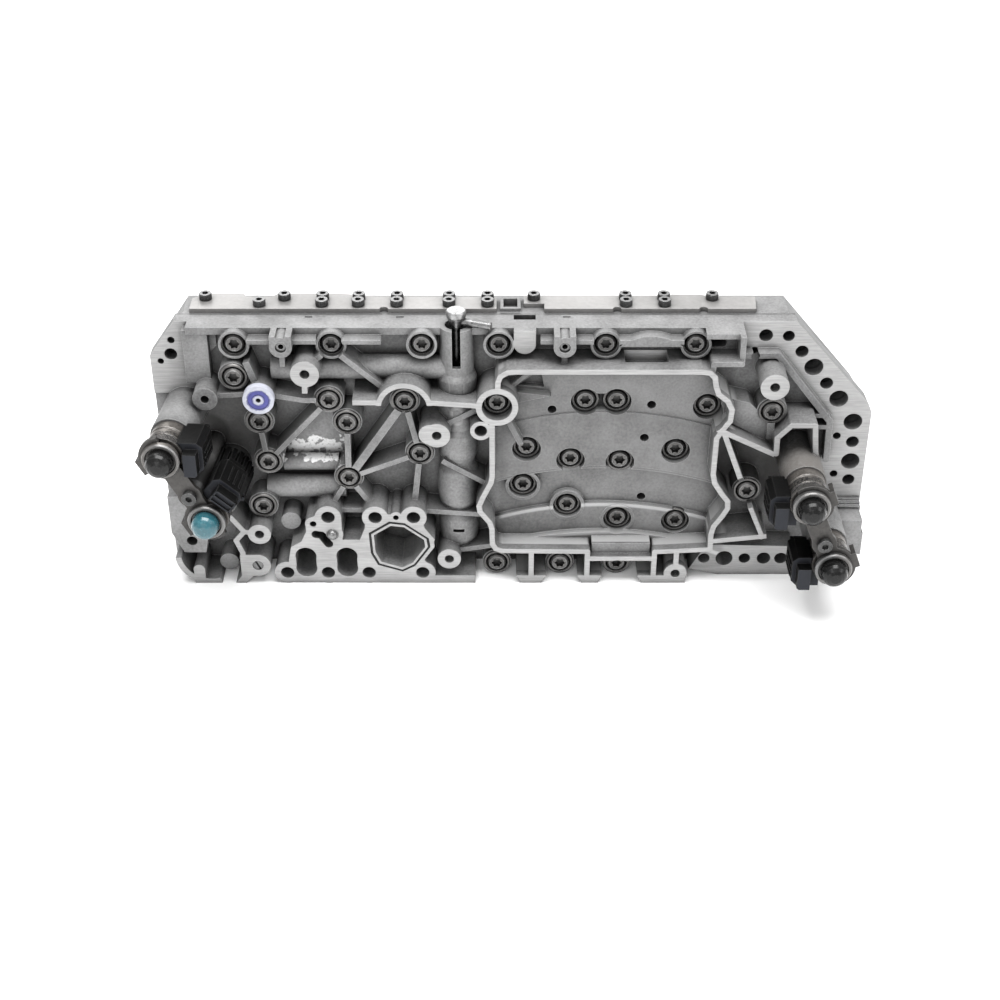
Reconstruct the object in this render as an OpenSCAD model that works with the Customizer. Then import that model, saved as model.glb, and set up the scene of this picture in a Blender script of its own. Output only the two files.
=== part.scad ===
// Valve body of an automatic gearbox, standing on its long edge.
// Drawing datum: x = 0 midway along the castings, y = 0 on the machined front rims
// with +y towards the back, z = 0 on the bottom edge.

/* [Castings] */
// Length of the castings
body_length = 322; // [318:1:334]
// Height of the castings
body_height = 128; // [127:1:136]
// Depth of the front casting, from its rims to the parting face
front_depth = 24; // [23.5:0.5:28]
// Depth of the rear casting
rear_depth = 17.5; // [16.5:0.5:22]
// Thickness of the steel separator plate
separator_t = 1.5; // [1:0.1:2.5]
// Thickness of the drilled flanges
flange_t = 6; // [5:0.5:7]
// Thickness of the web between the ribs
web_t = 4.5; // [4:0.1:5.5]
// Depth of the wall along the top edge
ledge_t = 12; // [11:0.5:13]
// Width of the machined rims
rim_w = 2.4; // [2:0.1:3.2]
// Width of the cast ribs
rib_w = 2.4; // [2:0.1:3.2]
// Distance of the cast ribs behind the rims
rib_drop = 6; // [5:0.5:7]

/* [Tray] */
// Depth of the tray floor behind the rims
tray_depth = 12; // [11:0.5:13]
// Depth of the curved trough in the tray floor
trough_depth = 15; // [14:0.5:16]
// Radius of the curved steps in the tray floor
step_radius = 160; // [140:1:200]

/* [Bolts] */
// Diameter of the main bolt heads
bolt_head_d = 10.5; // [10:0.1:11]
// Height of the main bolt heads
bolt_head_h = 4.5; // [4:0.1:5]
// Shank diameter of the main bolts
bolt_d = 6; // [5:0.1:6.4]
// Length of the main bolts inside the rear casting
bolt_grip = 11; // [8:0.5:12]
// Gap between a bolt head and its counterbore
head_room = 0.4; // [0.3:0.1:1]
// Wall of the collar around a bolt head
collar_t = 1.1; // [0.8:0.1:2]

/* [Manual valve] */
// Bore of the manual valve
manual_bore_d = 10; // [9:0.1:10.6]
// Upward travel of the manual valve
manual_travel = 18; // [10:1:20]
// Diameter of the valve head
manual_head_d = 8.8; // [8:0.1:9.4]
// Diameter of the cross pin in the valve
pin_d = 3.3; // [2.5:0.1:3.6]

/* [Spool valves] */
// Bore of the spool valves
spool_bore_d = 10; // [9:0.1:10.6]
// Length of a spool
spool_length = 52; // [44:1:56]
// Downward travel of a spool
spool_travel = 6; // [3:0.5:8]
// Length of a spool spring at rest
spring_length = 22; // [18:1:24]
// Wire thickness of a spool spring
spring_wire = 1.1; // [0.8:0.1:1.4]
// Length of the plug above a spool
plug_length = 8; // [6:0.5:10]

/* [Covers] */
// Thickness of the top cover plates
cover_t = 2; // [1.5:0.1:3]
// Head diameter of the cover screws
screw_head_d = 5.4; // [5:0.1:5.8]
// Head height of the cover screws
screw_head_h = 3; // [2.5:0.1:4]
// Shank diameter of the cover screws
screw_d = 3; // [2.5:0.1:3.4]

/* [Solenoids] */
// Diameter of a solenoid can
can_d = 17.6; // [15:0.1:18.4]
// Reach of a solenoid can in front of the rims
can_reach = 32; // [28:0.5:36]
// Diameter of a solenoid nose inside the casting
nose_d = 12; // [11:0.1:12.6]
// Distance between the two solenoids of a pair
pair_pitch = 35; // [33:0.5:38]
// Diameter of the round cap on a solenoid
cap_d = 11.8; // [10.5:0.1:12.4]
// Thickness of the clamp plates
clamp_t = 2; // [1.5:0.1:2.5]

/* [Hidden] */
$fn = 48;
eps = 0.5;
fit = 0.05;
seat_gap = 0.3;
top_z = body_height;
part_y = front_depth;
rear_y = part_y + separator_t;
back_y = rear_y + rear_depth;
flange_y = part_y - flange_t;
root_y = part_y - flange_t / 2;
web_y = part_y - web_t;
ledge_y = part_y - ledge_t;

// Places are laid out for castings of 322 by 128 and spread with their size
spread_x = body_length / 322;
spread_z = body_height / 128;
function at(x, z) = [x * spread_x, z * spread_z];
function lay(points) = [for (p = points) at(p.x, p.y)];

// Outline of the front casting and the separator plate
outline = lay([
    [-160, 6], [-161, 84], [-161, 111], [-149, 128], [123, 128], [158, 88], [161, 82], [161, 11],
    [150, 0], [-154, 0]
]);
// The rear casting is a little smaller
rear_outline = lay([
    [-158.5, 7], [-159, 109], [-146, 128], [120.3, 128], [154.5, 88], [159.5, 80], [160, 12],
    [149, 0], [-153, 0]
]);

// Main bolts
counterbore_d = bolt_head_d + 2 * head_room;
collar_d = counterbore_d + 2 * collar_t;
tray_bore_d = bolt_head_d + 2.5;
rim_bore_d = bolt_head_d + 2.9;
rim_boss_d = rim_bore_d + 2.2 * rim_w;
shank_hole_d = bolt_d + 0.6;
tapped_hole_d = bolt_d + 2 * fit;
bolt_tip_y = rear_y + bolt_grip;
collar_rise = 3;
field_seat = rib_drop + 4.5;
tray_seat = part_y - 6;
rim_seat = 9;
ledge_seat = ledge_y + 2.5;
top_bolts = lay([[-122, 121], [-79.8, 121], [-40.5, 121], [-7, 121], [39.5, 121], [78.5, 121]]);
field_points = lay([
    [-123, 106.5], [-82, 95], [-113.5, 84], [-74.5, 83.5], [-48.5, 94.5], [-111, 63], [-75, 54.5],
    [-115, 39], [-42.5, 67.5], [114, 89], [106, 47.5]
]);
lower_points = lay([[-8, 7.2], [21.5, 7.2], [48, 7.2]]);
tray_points = lay([
    [31.5, 91], [45.5, 91], [86, 88.5], [5.5, 66.5], [25.5, 60.5], [48, 59.5], [73, 65.5],
    [4, 46.5], [24.5, 35.5], [48, 28], [75, 26.5]
]);
rim_point = at(-7.8, 95);

// Machined bosses with tapped holes: place, boss diameter
tapped_d = 4.3;
tapped_depth = 14;
tapped_bosses = [
    [at(-91, 111.5), 12.6], [at(-34.5, 80.5), 12], [at(-30, 13.7), 10.8], [at(75.2, 5.4), 10.8],
    [at(113, 105), 12.6]
];
dry_boss = at(-136, 97);
wall_lug = at(-15, 83);
bracket_eye = at(-117, 27.5);

// Port face on the lower left
port_hole_d = 6.2;
port_boss_d = 12;
port_points = lay([
    [-85, 37], [-63.5, 36.8], [-46, 36.8], [-105.5, 6], [-86.5, 6], [-67.5, 6], [-42.5, 6]
]);
port_edge = lay([
    [-105, 0.6], [-104.5, 13], [-103, 20.5], [-98, 23.5], [-95.5, 29], [-95.5, 34], [-91, 38],
    [-79, 37], [-79, 24.5], [-71, 24.5], [-68.5, 31], [-68, 38.5], [-43, 38.5], [-41, 31],
    [-36.5, 24.5], [-41.5, 13], [-38, 8], [-37.5, 4.2], [-18, 4.2], [-18, 0], [-42, 0]
]);
port_vents = lay([[-92, 33.3], [-54, 36.8]]);
port_centre = at(-53, 20.5);
port_shape = lay([
    [-64.5, 27], [-56.5, 32.3], [-50.5, 31.5], [-41.5, 24.5], [-41, 20.5], [-47, 11.6],
    [-52, 8.8], [-61.5, 12], [-64, 17.5]
]);
groove_depth = 2.4;
lip_scale = 1.1;
seal_scale = 1.2;
port_dowel = at(-83.5, 27.5);
dowel_d = 5.6;
oval_w = 9.4;
ovals = [lay([[-96.4, 8.6], [-96.4, 15.2]]), lay([[-77.4, 8.6], [-77.4, 15.2]])];

// Tray wall, clockwise from the upper left corner
tray_wall = concat(lay([
    [-6.3, 110.4], [-3.2, 112.3], [0, 112.6], [81, 112.6], [84.5, 112], [86.6, 109.8], [87.4, 105.5],
    [88.8, 101.5], [93, 98], [95.2, 93.6], [94.8, 88], [91.8, 83.6], [89.4, 79], [89.2, 60],
    [90.2, 55.4], [93.8, 49.6], [96.8, 45.6], [97, 41.8], [94.8, 37.4], [91.4, 32], [90.4, 27.5],
    [90.5, 19], [65, 17.6], [65, 13.8], [34, 13.8], [34, 17.8], [-5.5, 18.2], [-8.4, 19.3],
    [-10, 22.2], [-10.2, 30.5], [-11.2, 34], [-15.6, 40], [-16, 43], [-14.4, 47.4], [-10.6, 55.6],
    [-10, 59], [-10, 86]
]), [rim_point], lay([[-7.5, 104], [-7.4, 107.4]]));
step_x = 40 * spread_x;

// Manual valve
manual_x = -25.5 * spread_x;
manual_y = part_y - 9;
manual_floor = 24;
manual_wall = 2.6;
manual_boss_d = manual_bore_d + 2 * manual_wall;

// Spool valves, closed by the covers on the top edge
spool_x = [for (x = [-93.5, -60.5, -20.5, 57.5, 96]) x * spread_x];
spool_y = rear_y + rear_depth / 2;
plug_z = top_z - plug_length;
spool_top = plug_z - seat_gap;
spool_bottom = spool_top - spool_length;
spring_floor = spool_bottom - 2 * seat_gap - spring_length;
screw_length = 12;
front_row = rear_y + 4;
rear_row = rear_y + 10;
// Cover screws: x, in the front row, in the rear row
cover_screw_rows = [
    [-137, false, true], [-112.5, true, false], [-102, false, true], [-85, true, true],
    [-69, true, true], [-52, true, true], [-29, true, true], [-12, true, true], [8.5, false, true],
    [49, true, true], [66, true, true], [87.5, false, true]
];

// Gallery holes in the flanges: place, diameter
gallery_holes = [
    [at(-150.8, 118.7), 3.2], [at(-151.6, 111.8), 5.6], [at(-156.4, 108.2), 2.8],
    [at(110, 121), 6], [at(120, 120.7), 5.2], [at(105.5, 113.3), 4], [at(126.5, 113), 5.8],
    [at(132.5, 105.2), 8.4], [at(139, 97), 5.8], [at(145.3, 89), 8.4], [at(153, 77), 8.4],
    [at(146.5, 69.6), 3.6], [at(154, 66.4), 5.8], [at(154.2, 56), 8.4], [at(147.3, 49.2), 3.6],
    [at(154.4, 46), 5.6]
];
lower_flange_y = 7;
lower_flange_holes = [
    [at(89, 9.2), 5.4], [at(98.5, 9.2), 8], [at(108, 9.2), 5.4], [at(117, 9.2), 6.4], [at(125, 9.2), 6]
];
six_sided_port = lay([[119, 76], [119, 79], [123, 83.5], [131, 83.5], [131, 77]]);

// Solenoid pairs: middle in x and z, its y, lean about y, tilt about z
pairs = [
    [at(-140, 70.5), 1, -29, -5],
    [at(134.8, 46.4), 0, -21.5, 0]
];
// Solenoids: pair, place in the pair, then turn, shift and lift of the connector
solenoids = [[0, 1, 0, 0, 3.5], [0, -1, -50, 2, 6.5], [1, 1, 180, 0, 0], [1, -1, 180, 0, 0]];
snout_reach = 12;
snout_d = nose_d + 7;
snout_root = web_y + 1.2;
nose_length = 14;
cap_reach = 7;
end_ring = 2.4;
groove_share = 0.8;
clamp_y = end_ring + 0.2;
clamp_screw_z = -4;
clamp_screw_d = 4;
clamp_screw_grip = can_reach - snout_reach - clamp_y - clamp_t - 3.4;
pillar_d = 9;

restrictor = at(-112, 98.5);
bush_d = 13.8;
bush_t = 3.5;
slotted_point = at(-119, 10);
slotted_d = 5;
rail_pins = lay([[-101, 122.6], [21.5, 122.6]]);

// Moves the drawing datum to the middle of the part's box
module place() {
    translate([0, (can_reach + cap_reach - back_y) / 2, 0]) children();
}

// Extrudes an outline drawn in x and z, from one depth to another
module slab(front, back) {
    translate([0, back, 0]) rotate([90, 0, 0]) linear_extrude(height = back - front) children();
}

// Round bar along y at a point in x and z
module rod(p, d, front, back) {
    translate([p.x, back, p.y]) rotate([90, 0, 0]) cylinder(d = d, h = back - front);
}

module spot(p, d) {
    translate(p) circle(d = d);
}

// Straight rib between two points
module bar(a, b, w) {
    translate(a) rotate(atan2(b.y - a.y, b.x - a.x)) translate([0, -w / 2]) square([norm(b - a), w]);
}

// Chain of ribs with rounded corners
module chain(points, w, closed = false) {
    last = len(points) - (closed ? 1 : 2);
    for (i = [0:last]) {
        bar(points[i], points[(i + 1) % len(points)], w);
    }
    for (p = points) {
        spot(p, w * 1.04);
    }
}

module clipped() {
    intersection() {
        polygon(outline);
        children();
    }
}

function about(points, centre, k) = [for (p = points) centre + (p - centre) * k];

// Round holes and counterbores for one group of bolts
module bolt_cuts(points, seat, d) {
    for (p = points) {
        rod(p, shank_hole_d, seat - 1, part_y + 1);
        rod(p, d, -1, seat);
    }
}

// Head with a six-lobe socket, and its shank
module bolt(p, seat, tip) {
    socket_d = bolt_head_d * 0.5;
    star = [for (i = [0:11]) (i % 2 == 0 ? socket_d : socket_d * 0.7) / 2 * [cos(30 * i), sin(30 * i)]];
    rim_h = bolt_head_h * 0.3;
    r = bolt_head_d / 2;
    translate([p.x, seat, p.y]) rotate([90, 0, 0]) difference() {
        union() {
            rotate_extrude() polygon([
                [0, 0], [r, 0], [r, rim_h], [r * 0.88, rim_h + 0.5], [r * 0.8, bolt_head_h - 0.6],
                [r * 0.68, bolt_head_h], [0, bolt_head_h]
            ]);
            translate([0, 0, seat - tip]) cylinder(d = bolt_d, h = tip - seat + 0.2);
        }
        translate([0, 0, bolt_head_h - 2.4]) linear_extrude(height = 3) polygon(star);
    }
}

module bolts(points, seat) {
    for (p = points) {
        bolt(p, seat, bolt_tip_y);
    }
}

// Everything that reaches the machined rim plane
module rim_shapes() {
    chain(tray_wall, rim_w, true);
    spot(rim_point, rim_boss_d);
    // Arched rim over one bolt
    bar(at(-71, 97.3), at(-59, 97.3), rim_w);
    intersection() {
        difference() {
            spot(field_points[4], 25);
            spot(field_points[4], 25 - 2 * rim_w);
        }
        polygon(lay([[-64, 95.8], [-33, 95.8], [-33, 111], [-64, 111]]));
    }
    bar(at(-38, 97.3), rim_point, rim_w);
    for (b = tapped_bosses) {
        spot(b[0], b[1]);
    }
    spot(at(-37.5, 81), 10);
    bar(tapped_bosses[0][0], at(-91.5, 102), rim_w);
    // Bored lug on the tray wall
    spot(wall_lug, 9.4);
    bar(wall_lug, at(-10, 83), 6);
    // Struts right of the tray
    bar(at(89, 84), at(116, 70.5), rim_w);
    bar(at(92.5, 82), at(101.5, 58), rim_w);
    bar(at(90.5, 23.5), at(116, 26.5), rim_w);
    bar(at(107, 43), at(114.5, 25), rim_w * 0.9);
    // Six-sided port box above the right solenoids
    chain(lay([[116.5, 71], [116.3, 79.3], [122, 85.6], [132.5, 85.6], [134, 71]]), rim_w);
    // Legs and feet under the tray
    for (x = [8, 34, 65]) {
        bar(at(x, 1), at(x, 17), rim_w);
    }
    polygon(lay([[1, 4.2], [3, 0], [12.8, 0], [15, 4.2]]));
    polygon(lay([[29.5, 4.2], [31.5, 0], [39.2, 0], [41, 4.2]]));
    polygon(lay([[57.5, 4.2], [59.5, 0], [80, 0], [80, 4.2]]));
    bar(at(75.2, 5), at(75.2, 18), rim_w);
    // Bracket at the lower left
    chain(lay([[-129.5, 37], [-124, 29], [-117, 27.5]]), rim_w);
    chain(lay([[-124, 29], [-128, 24], [-125.5, 17], [-125.5, 8]]), rim_w);
    spot(bracket_eye, 10.6);
    polygon(lay([[-127, 4], [-119, 4], [-119, 16], [-127, 16]]));
    spot(slotted_point, 12);
    polygon(lay([[-127, 4], [-130, 0], [-125, 0], [-121, 4.5]]));
    // Curved claw at the lower left corner
    intersection() {
        difference() {
            spot(at(-141, 15.5), 32);
            spot(at(-141, 15.5), 26.5);
        }
        polygon(lay([[-160, 14], [-141, 15.5], [-135, -4], [-160, -4]]));
    }
    chain(lay([[-146.5, 1.4], [-146.5, 7.6]]), 5.2);
}

module port_face() {
    polygon(port_edge);
    for (p = port_points) {
        spot(p, port_boss_d);
    }
    spot(port_vents[0], 7.4);
    spot(port_vents[1], 6);
    spot(port_dowel, 10);
    polygon(about(port_shape, port_centre, seal_scale + 0.16));
}

// Cast ribs between the bolts on the left
module field_ribs() {
    f = field_points;
    w = rib_w;
    bar(top_bolts[1], at(-57, 100.5), w);
    bar(top_bolts[1], tapped_bosses[0][0], w);
    bar(at(-117, 114), restrictor, w * 1.2);
    bar(dry_boss, restrictor, w);
    chain([restrictor, at(-93, 95), f[1]], w);
    bar(f[1], f[5], w);
    bar(f[2], f[5], w);
    bar(f[3], f[6], w * 1.1);
    bar(f[4], f[6], w * 1.5);
    bar(f[4], f[8], w * 1.1);
    bar(f[6], f[8], w);
    bar(f[8], port_points[2], w * 1.1);
    bar(f[6], port_points[0], w);
    bar(f[6], port_points[1], w);
    bar(rim_point, tapped_bosses[1][0], w * 1.1);
    bar(at(-32.5, 63.5), at(-12, 51), w);
    bar(port_points[2], at(-15.5, 34.5), w);
    bar(tapped_bosses[2][0], at(-8, 17.5), w);
    bar(port_points[0], port_points[1], w);
    bar(f[9], at(114, 75), w * 1.4);
    bar(f[10], at(101, 58), w);
    for (p = rail_pins) {
        bar(p, p - [0, 10.6], w);
    }
}

// Rail along the top edge, broken at the bolts
module top_rail() {
    for (run = [[-116, -86], [-75, -58], [11, 34], [45, 73]]) {
        bar(at(run[0], 123.6), at(run[1], 123.6), 2);
    }
    intersection() {
        spot(at(59, 105.5), 42);
        polygon(lay([[45, 121.4], [73, 121.4], [73, 127], [45, 127]]));
    }
}

// Horizontal oil gallery that bulges out of the web
module gallery(a, b, d, y) {
    translate([a.x, y, a.y]) rotate([0, 90, 0]) cylinder(d = d, h = b.x - a.x);
}

// Upright tube of the manual valve with its cast bulges: radius beyond the wall, height
module manual_tube() {
    bulges = [
        [0, 16], [1.2, 19], [1.6, 24], [1.3, 30], [0, 33], [0, 36], [1.4, 39], [1.9, 44], [1.9, 52],
        [1.4, 56], [0.1, 58.5], [0.1, 61], [1.2, 64], [1.6, 69], [1.2, 75], [0, 78], [0, 81], [0.9, 84],
        [0.9, 89], [0, 92], [0, 95], [1.2, 98], [1.2, 103], [0, 106]
    ];
    r = manual_boss_d / 2;
    translate([manual_x, manual_y, 0]) intersection() {
        rotate_extrude() polygon(concat(
            [[0, 16 * spread_z]], [for (b = bulges) [r + b.x, b.y * spread_z]], [[r, top_z], [0, top_z]]
        ));
        translate([-2 * r, -4 * r, 0]) cube([4 * r, 4 * r + root_y - manual_y, top_z]);
    }
}

// Frame of one solenoid, with its nose along +y and its cap towards -y
module at_solenoid(i) {
    s = solenoids[i];
    at_pair(s[0]) translate([0, 0, s[1] * pair_pitch / 2]) children();
}

module at_pair(i) {
    p = pairs[i];
    translate([p[0].x, p[1], p[0].y]) rotate([0, p[2], p[3]]) children();
}

// Turned piece along a solenoid's axis, from radius and reach pairs
module turned(points) {
    rotate([90, 0, 0]) rotate_extrude() polygon(points);
}

module front_housing() {
    color("silver") difference() {
        union() {
            slab(web_y, part_y) polygon(outline);
            slab(flange_y, root_y) clipped() flanges();
            slab(ledge_y, root_y) ledge_area();
            slab(0, root_y) clipped() rim_shapes();
            slab(0, root_y) clipped() port_face();
            slab(rib_drop + 0.6, root_y) top_rail();
            slab(3.5, root_y) clipped() pads();
            slab(rib_drop, root_y) clipped() field_ribs();
            slab(field_seat - collar_rise, root_y) clipped() field_collars();
            slab(ledge_y - collar_rise, root_y) clipped() ledge_shapes();
            slab(flange_y - 5, root_y) clipped() low_walls();
            slab(lower_flange_y, root_y) lower_flange();
            upper_pocket();
            tray_floor();
            gallery(at(-107, 107.5), at(-29, 107.5), 11, part_y - 9.2);
            gallery(at(-113, 45.5), at(-77, 45.5), 11, part_y - 9.5);
            gallery(at(-105, 57), at(-80, 57), 8, part_y - 7.4);
            manual_tube();
            for (i = [0:3]) {
                at_solenoid(i) rod([0, 0], snout_d, -snout_reach, snout_root);
            }
            for (i = [0:1]) {
                at_pair(i) rod([0, clamp_screw_z], pillar_d, -can_reach + clamp_y + clamp_t, snout_root);
            }
        }
        front_cuts();
    }
}

// Drilled flanges at both ends
module flanges() {
    polygon(lay([[-162, 92], [-162, 129], [-131, 129], [-131, 116], [-139, 108], [-139, 92]]));
    polygon(lay([
        [99, 129], [162, 129], [162, 26], [141, 26], [140, 79], [113, 113], [99, 116]
    ]));
    polygon(lay([[-162, -1], [-162, 50], [-150, 50], [-146, 14], [-146, -1]]));
}

// Wall along the top edge
module ledge_area() {
    polygon(lay([[-143, 124.5], [99, 124.5], [99, 128], [-143, 128]]));
}

module pads() {
    // Forked bosses of the spring pins
    for (p = rail_pins) {
        spot(p, 9.8);
        for (side = [-1, 1]) {
            bar(p + [side * 3.4, 0], [p.x + side * 3.4, top_z], 2.6);
        }
    }
    spot(restrictor, bush_d * 0.9);
    spot(dry_boss, 11);
    // Pad at the lower left corner
    polygon(lay([[-158, 46], [-147, 46], [-141, 26], [-143, 15], [-153, 15], [-158, 26]]));
    // Stepped side below the right flange
    polygon(lay([[142, 24], [160, 24], [160, 33], [142, 33]]));
    polygon(lay([[147, 14], [161, 14], [161, 26], [147, 26]]));
}

module field_collars() {
    for (p = concat(field_points, lower_points)) {
        spot(p, collar_d);
    }
    // Round lug and disc at the lower left
    spot(at(-133.4, 7), 9);
    spot(at(-103, 30), 9.2);
    // Land right of the tray
    polygon(lay([[90, 86], [116, 71.5], [117, 80], [112, 85], [104, 93], [92, 96]]));
}

// Bosses and tongue on the top wall
module ledge_shapes() {
    for (p = top_bolts) {
        spot(p, collar_d);
    }
    spot(at(4.3, 121.4), 9.6);
    polygon(lay([[-0.5, 121.4], [9.1, 121.4], [9.1, 128], [-0.5, 128]]));
}

// Low cast walls beside the flanges
module low_walls() {
    polygon(lay([[-145, 100], [-145, 126], [-134, 126], [-134, 100]]));
    chain(lay([[99, 113.5], [115.5, 113.5], [141.5, 80], [142, 60]]), rim_w * 1.2);
    bar(at(132, 83), at(141, 83), 2);
    bar(at(132, 77), at(141, 77), 2);
}

module lower_flange() {
    polygon(lay([[82, 3], [96, 0], [130, 0], [130, 16], [90, 17]]));
}

// Open box at the upper right with a slanted front
module upper_pocket() {
    slab(14, root_y) polygon(lay([[83, 114.6], [99.4, 114.6], [99.4, 127.9], [83, 127.9]]));
    slab(6, root_y) polygon(lay([[82.5, 125.4], [99.4, 125.4], [99.4, 128], [82.5, 128]]));
    slab(3, root_y) polygon(lay([[97, 115], [99.4, 115], [99.4, 127.8], [97, 127.8]]));
    slab(1.4, root_y) chain(lay([[85.5, 111.8], [86, 115.6], [98, 115.6]]), rim_w);
}

// Tray floor with its curved steps
module tray_floor() {
    slab(trough_depth, root_y) polygon(tray_wall);
    slab(tray_depth, root_y) difference() {
        polygon(tray_wall);
        tray_step(56);
    }
    slab(tray_depth - 0.6, root_y) intersection() {
        polygon(tray_wall);
        difference() {
            tray_step(86);
            tray_step(57.5);
        }
    }
    slab(tray_depth + 0.5, root_y) intersection() {
        polygon(tray_wall);
        tray_step(36.5);
    }
    slab(tray_depth - 2.5, root_y) intersection() {
        polygon(tray_wall);
        tray_step(22.5);
    }
    // Block on the lower wall
    slab(3, root_y) polygon(lay([[36, 14], [63, 14], [63, 20.5], [36, 20.5]]));
    for (i = [7:9]) {
        rod(tray_points[i], tray_bore_d + 3, tray_depth + 0.2, root_y);
    }
    // Ribs that spread from the boss in the rim
    slab(rib_drop, root_y) bar(rim_point, tray_points[3], rib_w);
    slab(rib_drop + 2, root_y) {
        bar(rim_point, at(9, 110.5), rib_w * 0.8);
        polygon(lay([[-7, 99], [-5, 91], [16, 96.2]]));
    }
}

module tray_step(apex) {
    translate([step_x, apex * spread_z - step_radius]) circle(r = step_radius, $fn = 96);
}

module front_cuts() {
    bolt_cuts(top_bolts, ledge_seat, counterbore_d);
    bolt_cuts(field_points, field_seat, counterbore_d);
    bolt_cuts(lower_points, field_seat, counterbore_d);
    bolt_cuts(tray_points, tray_seat, tray_bore_d);
    bolt_cuts([rim_point], rim_seat, rim_bore_d);
    // Slot between the two joined counterbores of the tray
    slab(-1, tray_seat - 1) bar(tray_points[0], tray_points[1], 8.4);
    for (b = tapped_bosses) {
        rod(b[0], tapped_d, -1, tapped_depth);
    }
    rod(dry_boss, 3.8, 2, tapped_depth);
    rod(wall_lug, 5.6, -1, tapped_depth);
    rod(bracket_eye, tapped_d, -1, tapped_depth);
    for (h = concat(gallery_holes, lower_flange_holes)) {
        rod(h[0], h[1], lower_flange_y - 1, part_y + 1);
    }
    rod(at(-149, 21.5), 5, 2, tapped_depth);
    for (p = lay([[16.7, 87], [61, 89.4], [58.5, 72.6], [58.8, 38.6]])) {
        rod(p, 4, tray_depth - 4, part_y - 2);
    }
    rod(at(2.4, 10), 3, web_y - 1, part_y - 1);
    rod(at(103, 69), 4, rib_drop, part_y - 1);
    // Recess beside the spread ribs of the tray
    slab(rib_drop, tray_depth + 3) polygon(lay([[1.5, 99.6], [13, 98.4], [11.5, 107.6]]));
    port_cuts();
    solenoid_cuts();
    manual_cuts();
    rod(slotted_point, slotted_d + 2 * fit, -1, 8);
    rod(restrictor, 6 + 2 * fit, 0, 10);
    for (p = rail_pins) {
        rod(p, dowel_d - 0.8 + 2 * fit, 2, 14);
    }
    // Notch behind the tongue and the oil marks in the top edge
    top_notch(-0.5, 9.1, part_y - 4.5, part_y + eps, 3);
    for (x = [-92, -52, 21]) {
        top_notch(x, x + 3.4, part_y - 2.5, part_y - 1.3, 2);
    }
    // Drain through the upper wall of the tray, below the rail
    slab(7, part_y - 6) polygon(lay([[48, 108.6], [67, 108.6], [67, 116], [48, 116]]));
    // Window in the floor of the upper right pocket
    slab(12, part_y - 1) chain(lay([[86.8, 119.6], [90.4, 119.6]]), 4);
    slab(flange_y - 1, part_y + 1) polygon(six_sided_port);
}

// Notch in the top edge, from one x and depth to another
module top_notch(x1, x2, front, back, deep) {
    translate([x1 * spread_x, front, top_z - deep]) cube([(x2 - x1) * spread_x, back - front, deep + 1]);
}

module port_cuts() {
    for (p = port_points) {
        rod(p, port_hole_d, -1, part_y + 1);
    }
    rod(port_vents[0], 3, -1, part_y - 4);
    rod(port_vents[1], 2.6, -1, part_y - 4);
    rod(port_dowel, dowel_d + 2 * fit, -1, 10);
    // Oil inlet with the groove of its seal
    slab(-1, part_y + 1) polygon(port_shape);
    slab(-1, groove_depth) difference() {
        polygon(about(port_shape, port_centre, seal_scale));
        polygon(about(port_shape, port_centre, lip_scale));
    }
    for (o = ovals) {
        slab(-1, part_y + 1) chain(o, oval_w);
    }
    slab(-1, part_y - 6) chain(lay([[-91, 27.5], [-88.5, 27], [-85.5, 22.3]]), 4);
}

module solenoid_cuts() {
    for (i = [0:3]) {
        at_solenoid(i) rod([0, 0], nose_d + 2 * fit, -snout_reach - 1, nose_length - snout_reach + 1);
    }
    for (i = [0:1]) {
        at_pair(i) rod([0, clamp_screw_z], clamp_screw_d + 2 * fit, -can_reach - 1, -snout_reach - 0.4);
    }
}

module manual_cuts() {
    translate([manual_x, manual_y, manual_floor]) cylinder(d = manual_bore_d, h = top_z);
    // Sight slot in the boss
    translate([manual_x - 1.85, manual_y - manual_boss_d, top_z - manual_travel]) {
        cube([3.7, manual_boss_d, manual_travel + eps]);
    }
    // Drain slot near the foot of the tube
    translate([manual_x - 2.6, manual_y - manual_boss_d, 24.5]) cube([5.2, manual_boss_d, 1.7]);
}

module separator_plate() {
    color("dimgray") slab(part_y, rear_y) difference() {
        polygon(outline);
        for (p = concat(top_bolts, field_points, lower_points, tray_points, [rim_point])) {
            spot(p, shank_hole_d);
        }
        for (p = port_points) {
            spot(p, port_hole_d);
        }
        for (h = concat(gallery_holes, lower_flange_holes)) {
            spot(h[0], h[1]);
        }
        polygon(six_sided_port);
    }
}

module rear_housing() {
    color("silver") difference() {
        union() {
            slab(rear_y, back_y) polygon(rear_outline);
            // Raised block in the gap between the covers
            translate([0, 0, top_z - 1]) linear_extrude(height = 1 + cover_t * 0.9) cover_gap(0);
        }
        translate([0, 0, top_z - 2]) linear_extrude(height = 4 + cover_t) cover_gap(1.4);
        for (p = concat(top_bolts, field_points, lower_points, tray_points, [rim_point])) {
            rod(p, tapped_hole_d, rear_y - 1, bolt_tip_y + 1);
        }
        for (p = port_points) {
            rod(p, port_hole_d, rear_y - 1, back_y + 1);
        }
        for (h = concat(gallery_holes, lower_flange_holes)) {
            if (h[1] > 3.5) {
                rod(h[0], h[1], rear_y - 1, back_y - 5);
            }
        }
        for (x = spool_x) {
            translate([x, spool_y, spring_floor]) cylinder(d = spool_bore_d, h = top_z);
        }
        for (s = cover_screw_places()) {
            translate([s.x, s.y, top_z - screw_length - 1])
                cylinder(d = screw_d + 2 * fit, h = screw_length + 2);
        }
        back_channels();
    }
}

// Block between the covers, drawn in x and y, or its recess
module cover_gap(inset) {
    x1 = -6.4 * spread_x + inset;
    x2 = 2.6 * spread_x - inset;
    translate([x1, rear_y + 1.2 + inset]) square([x2 - x1, 11 - 2 * inset]);
}

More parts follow.
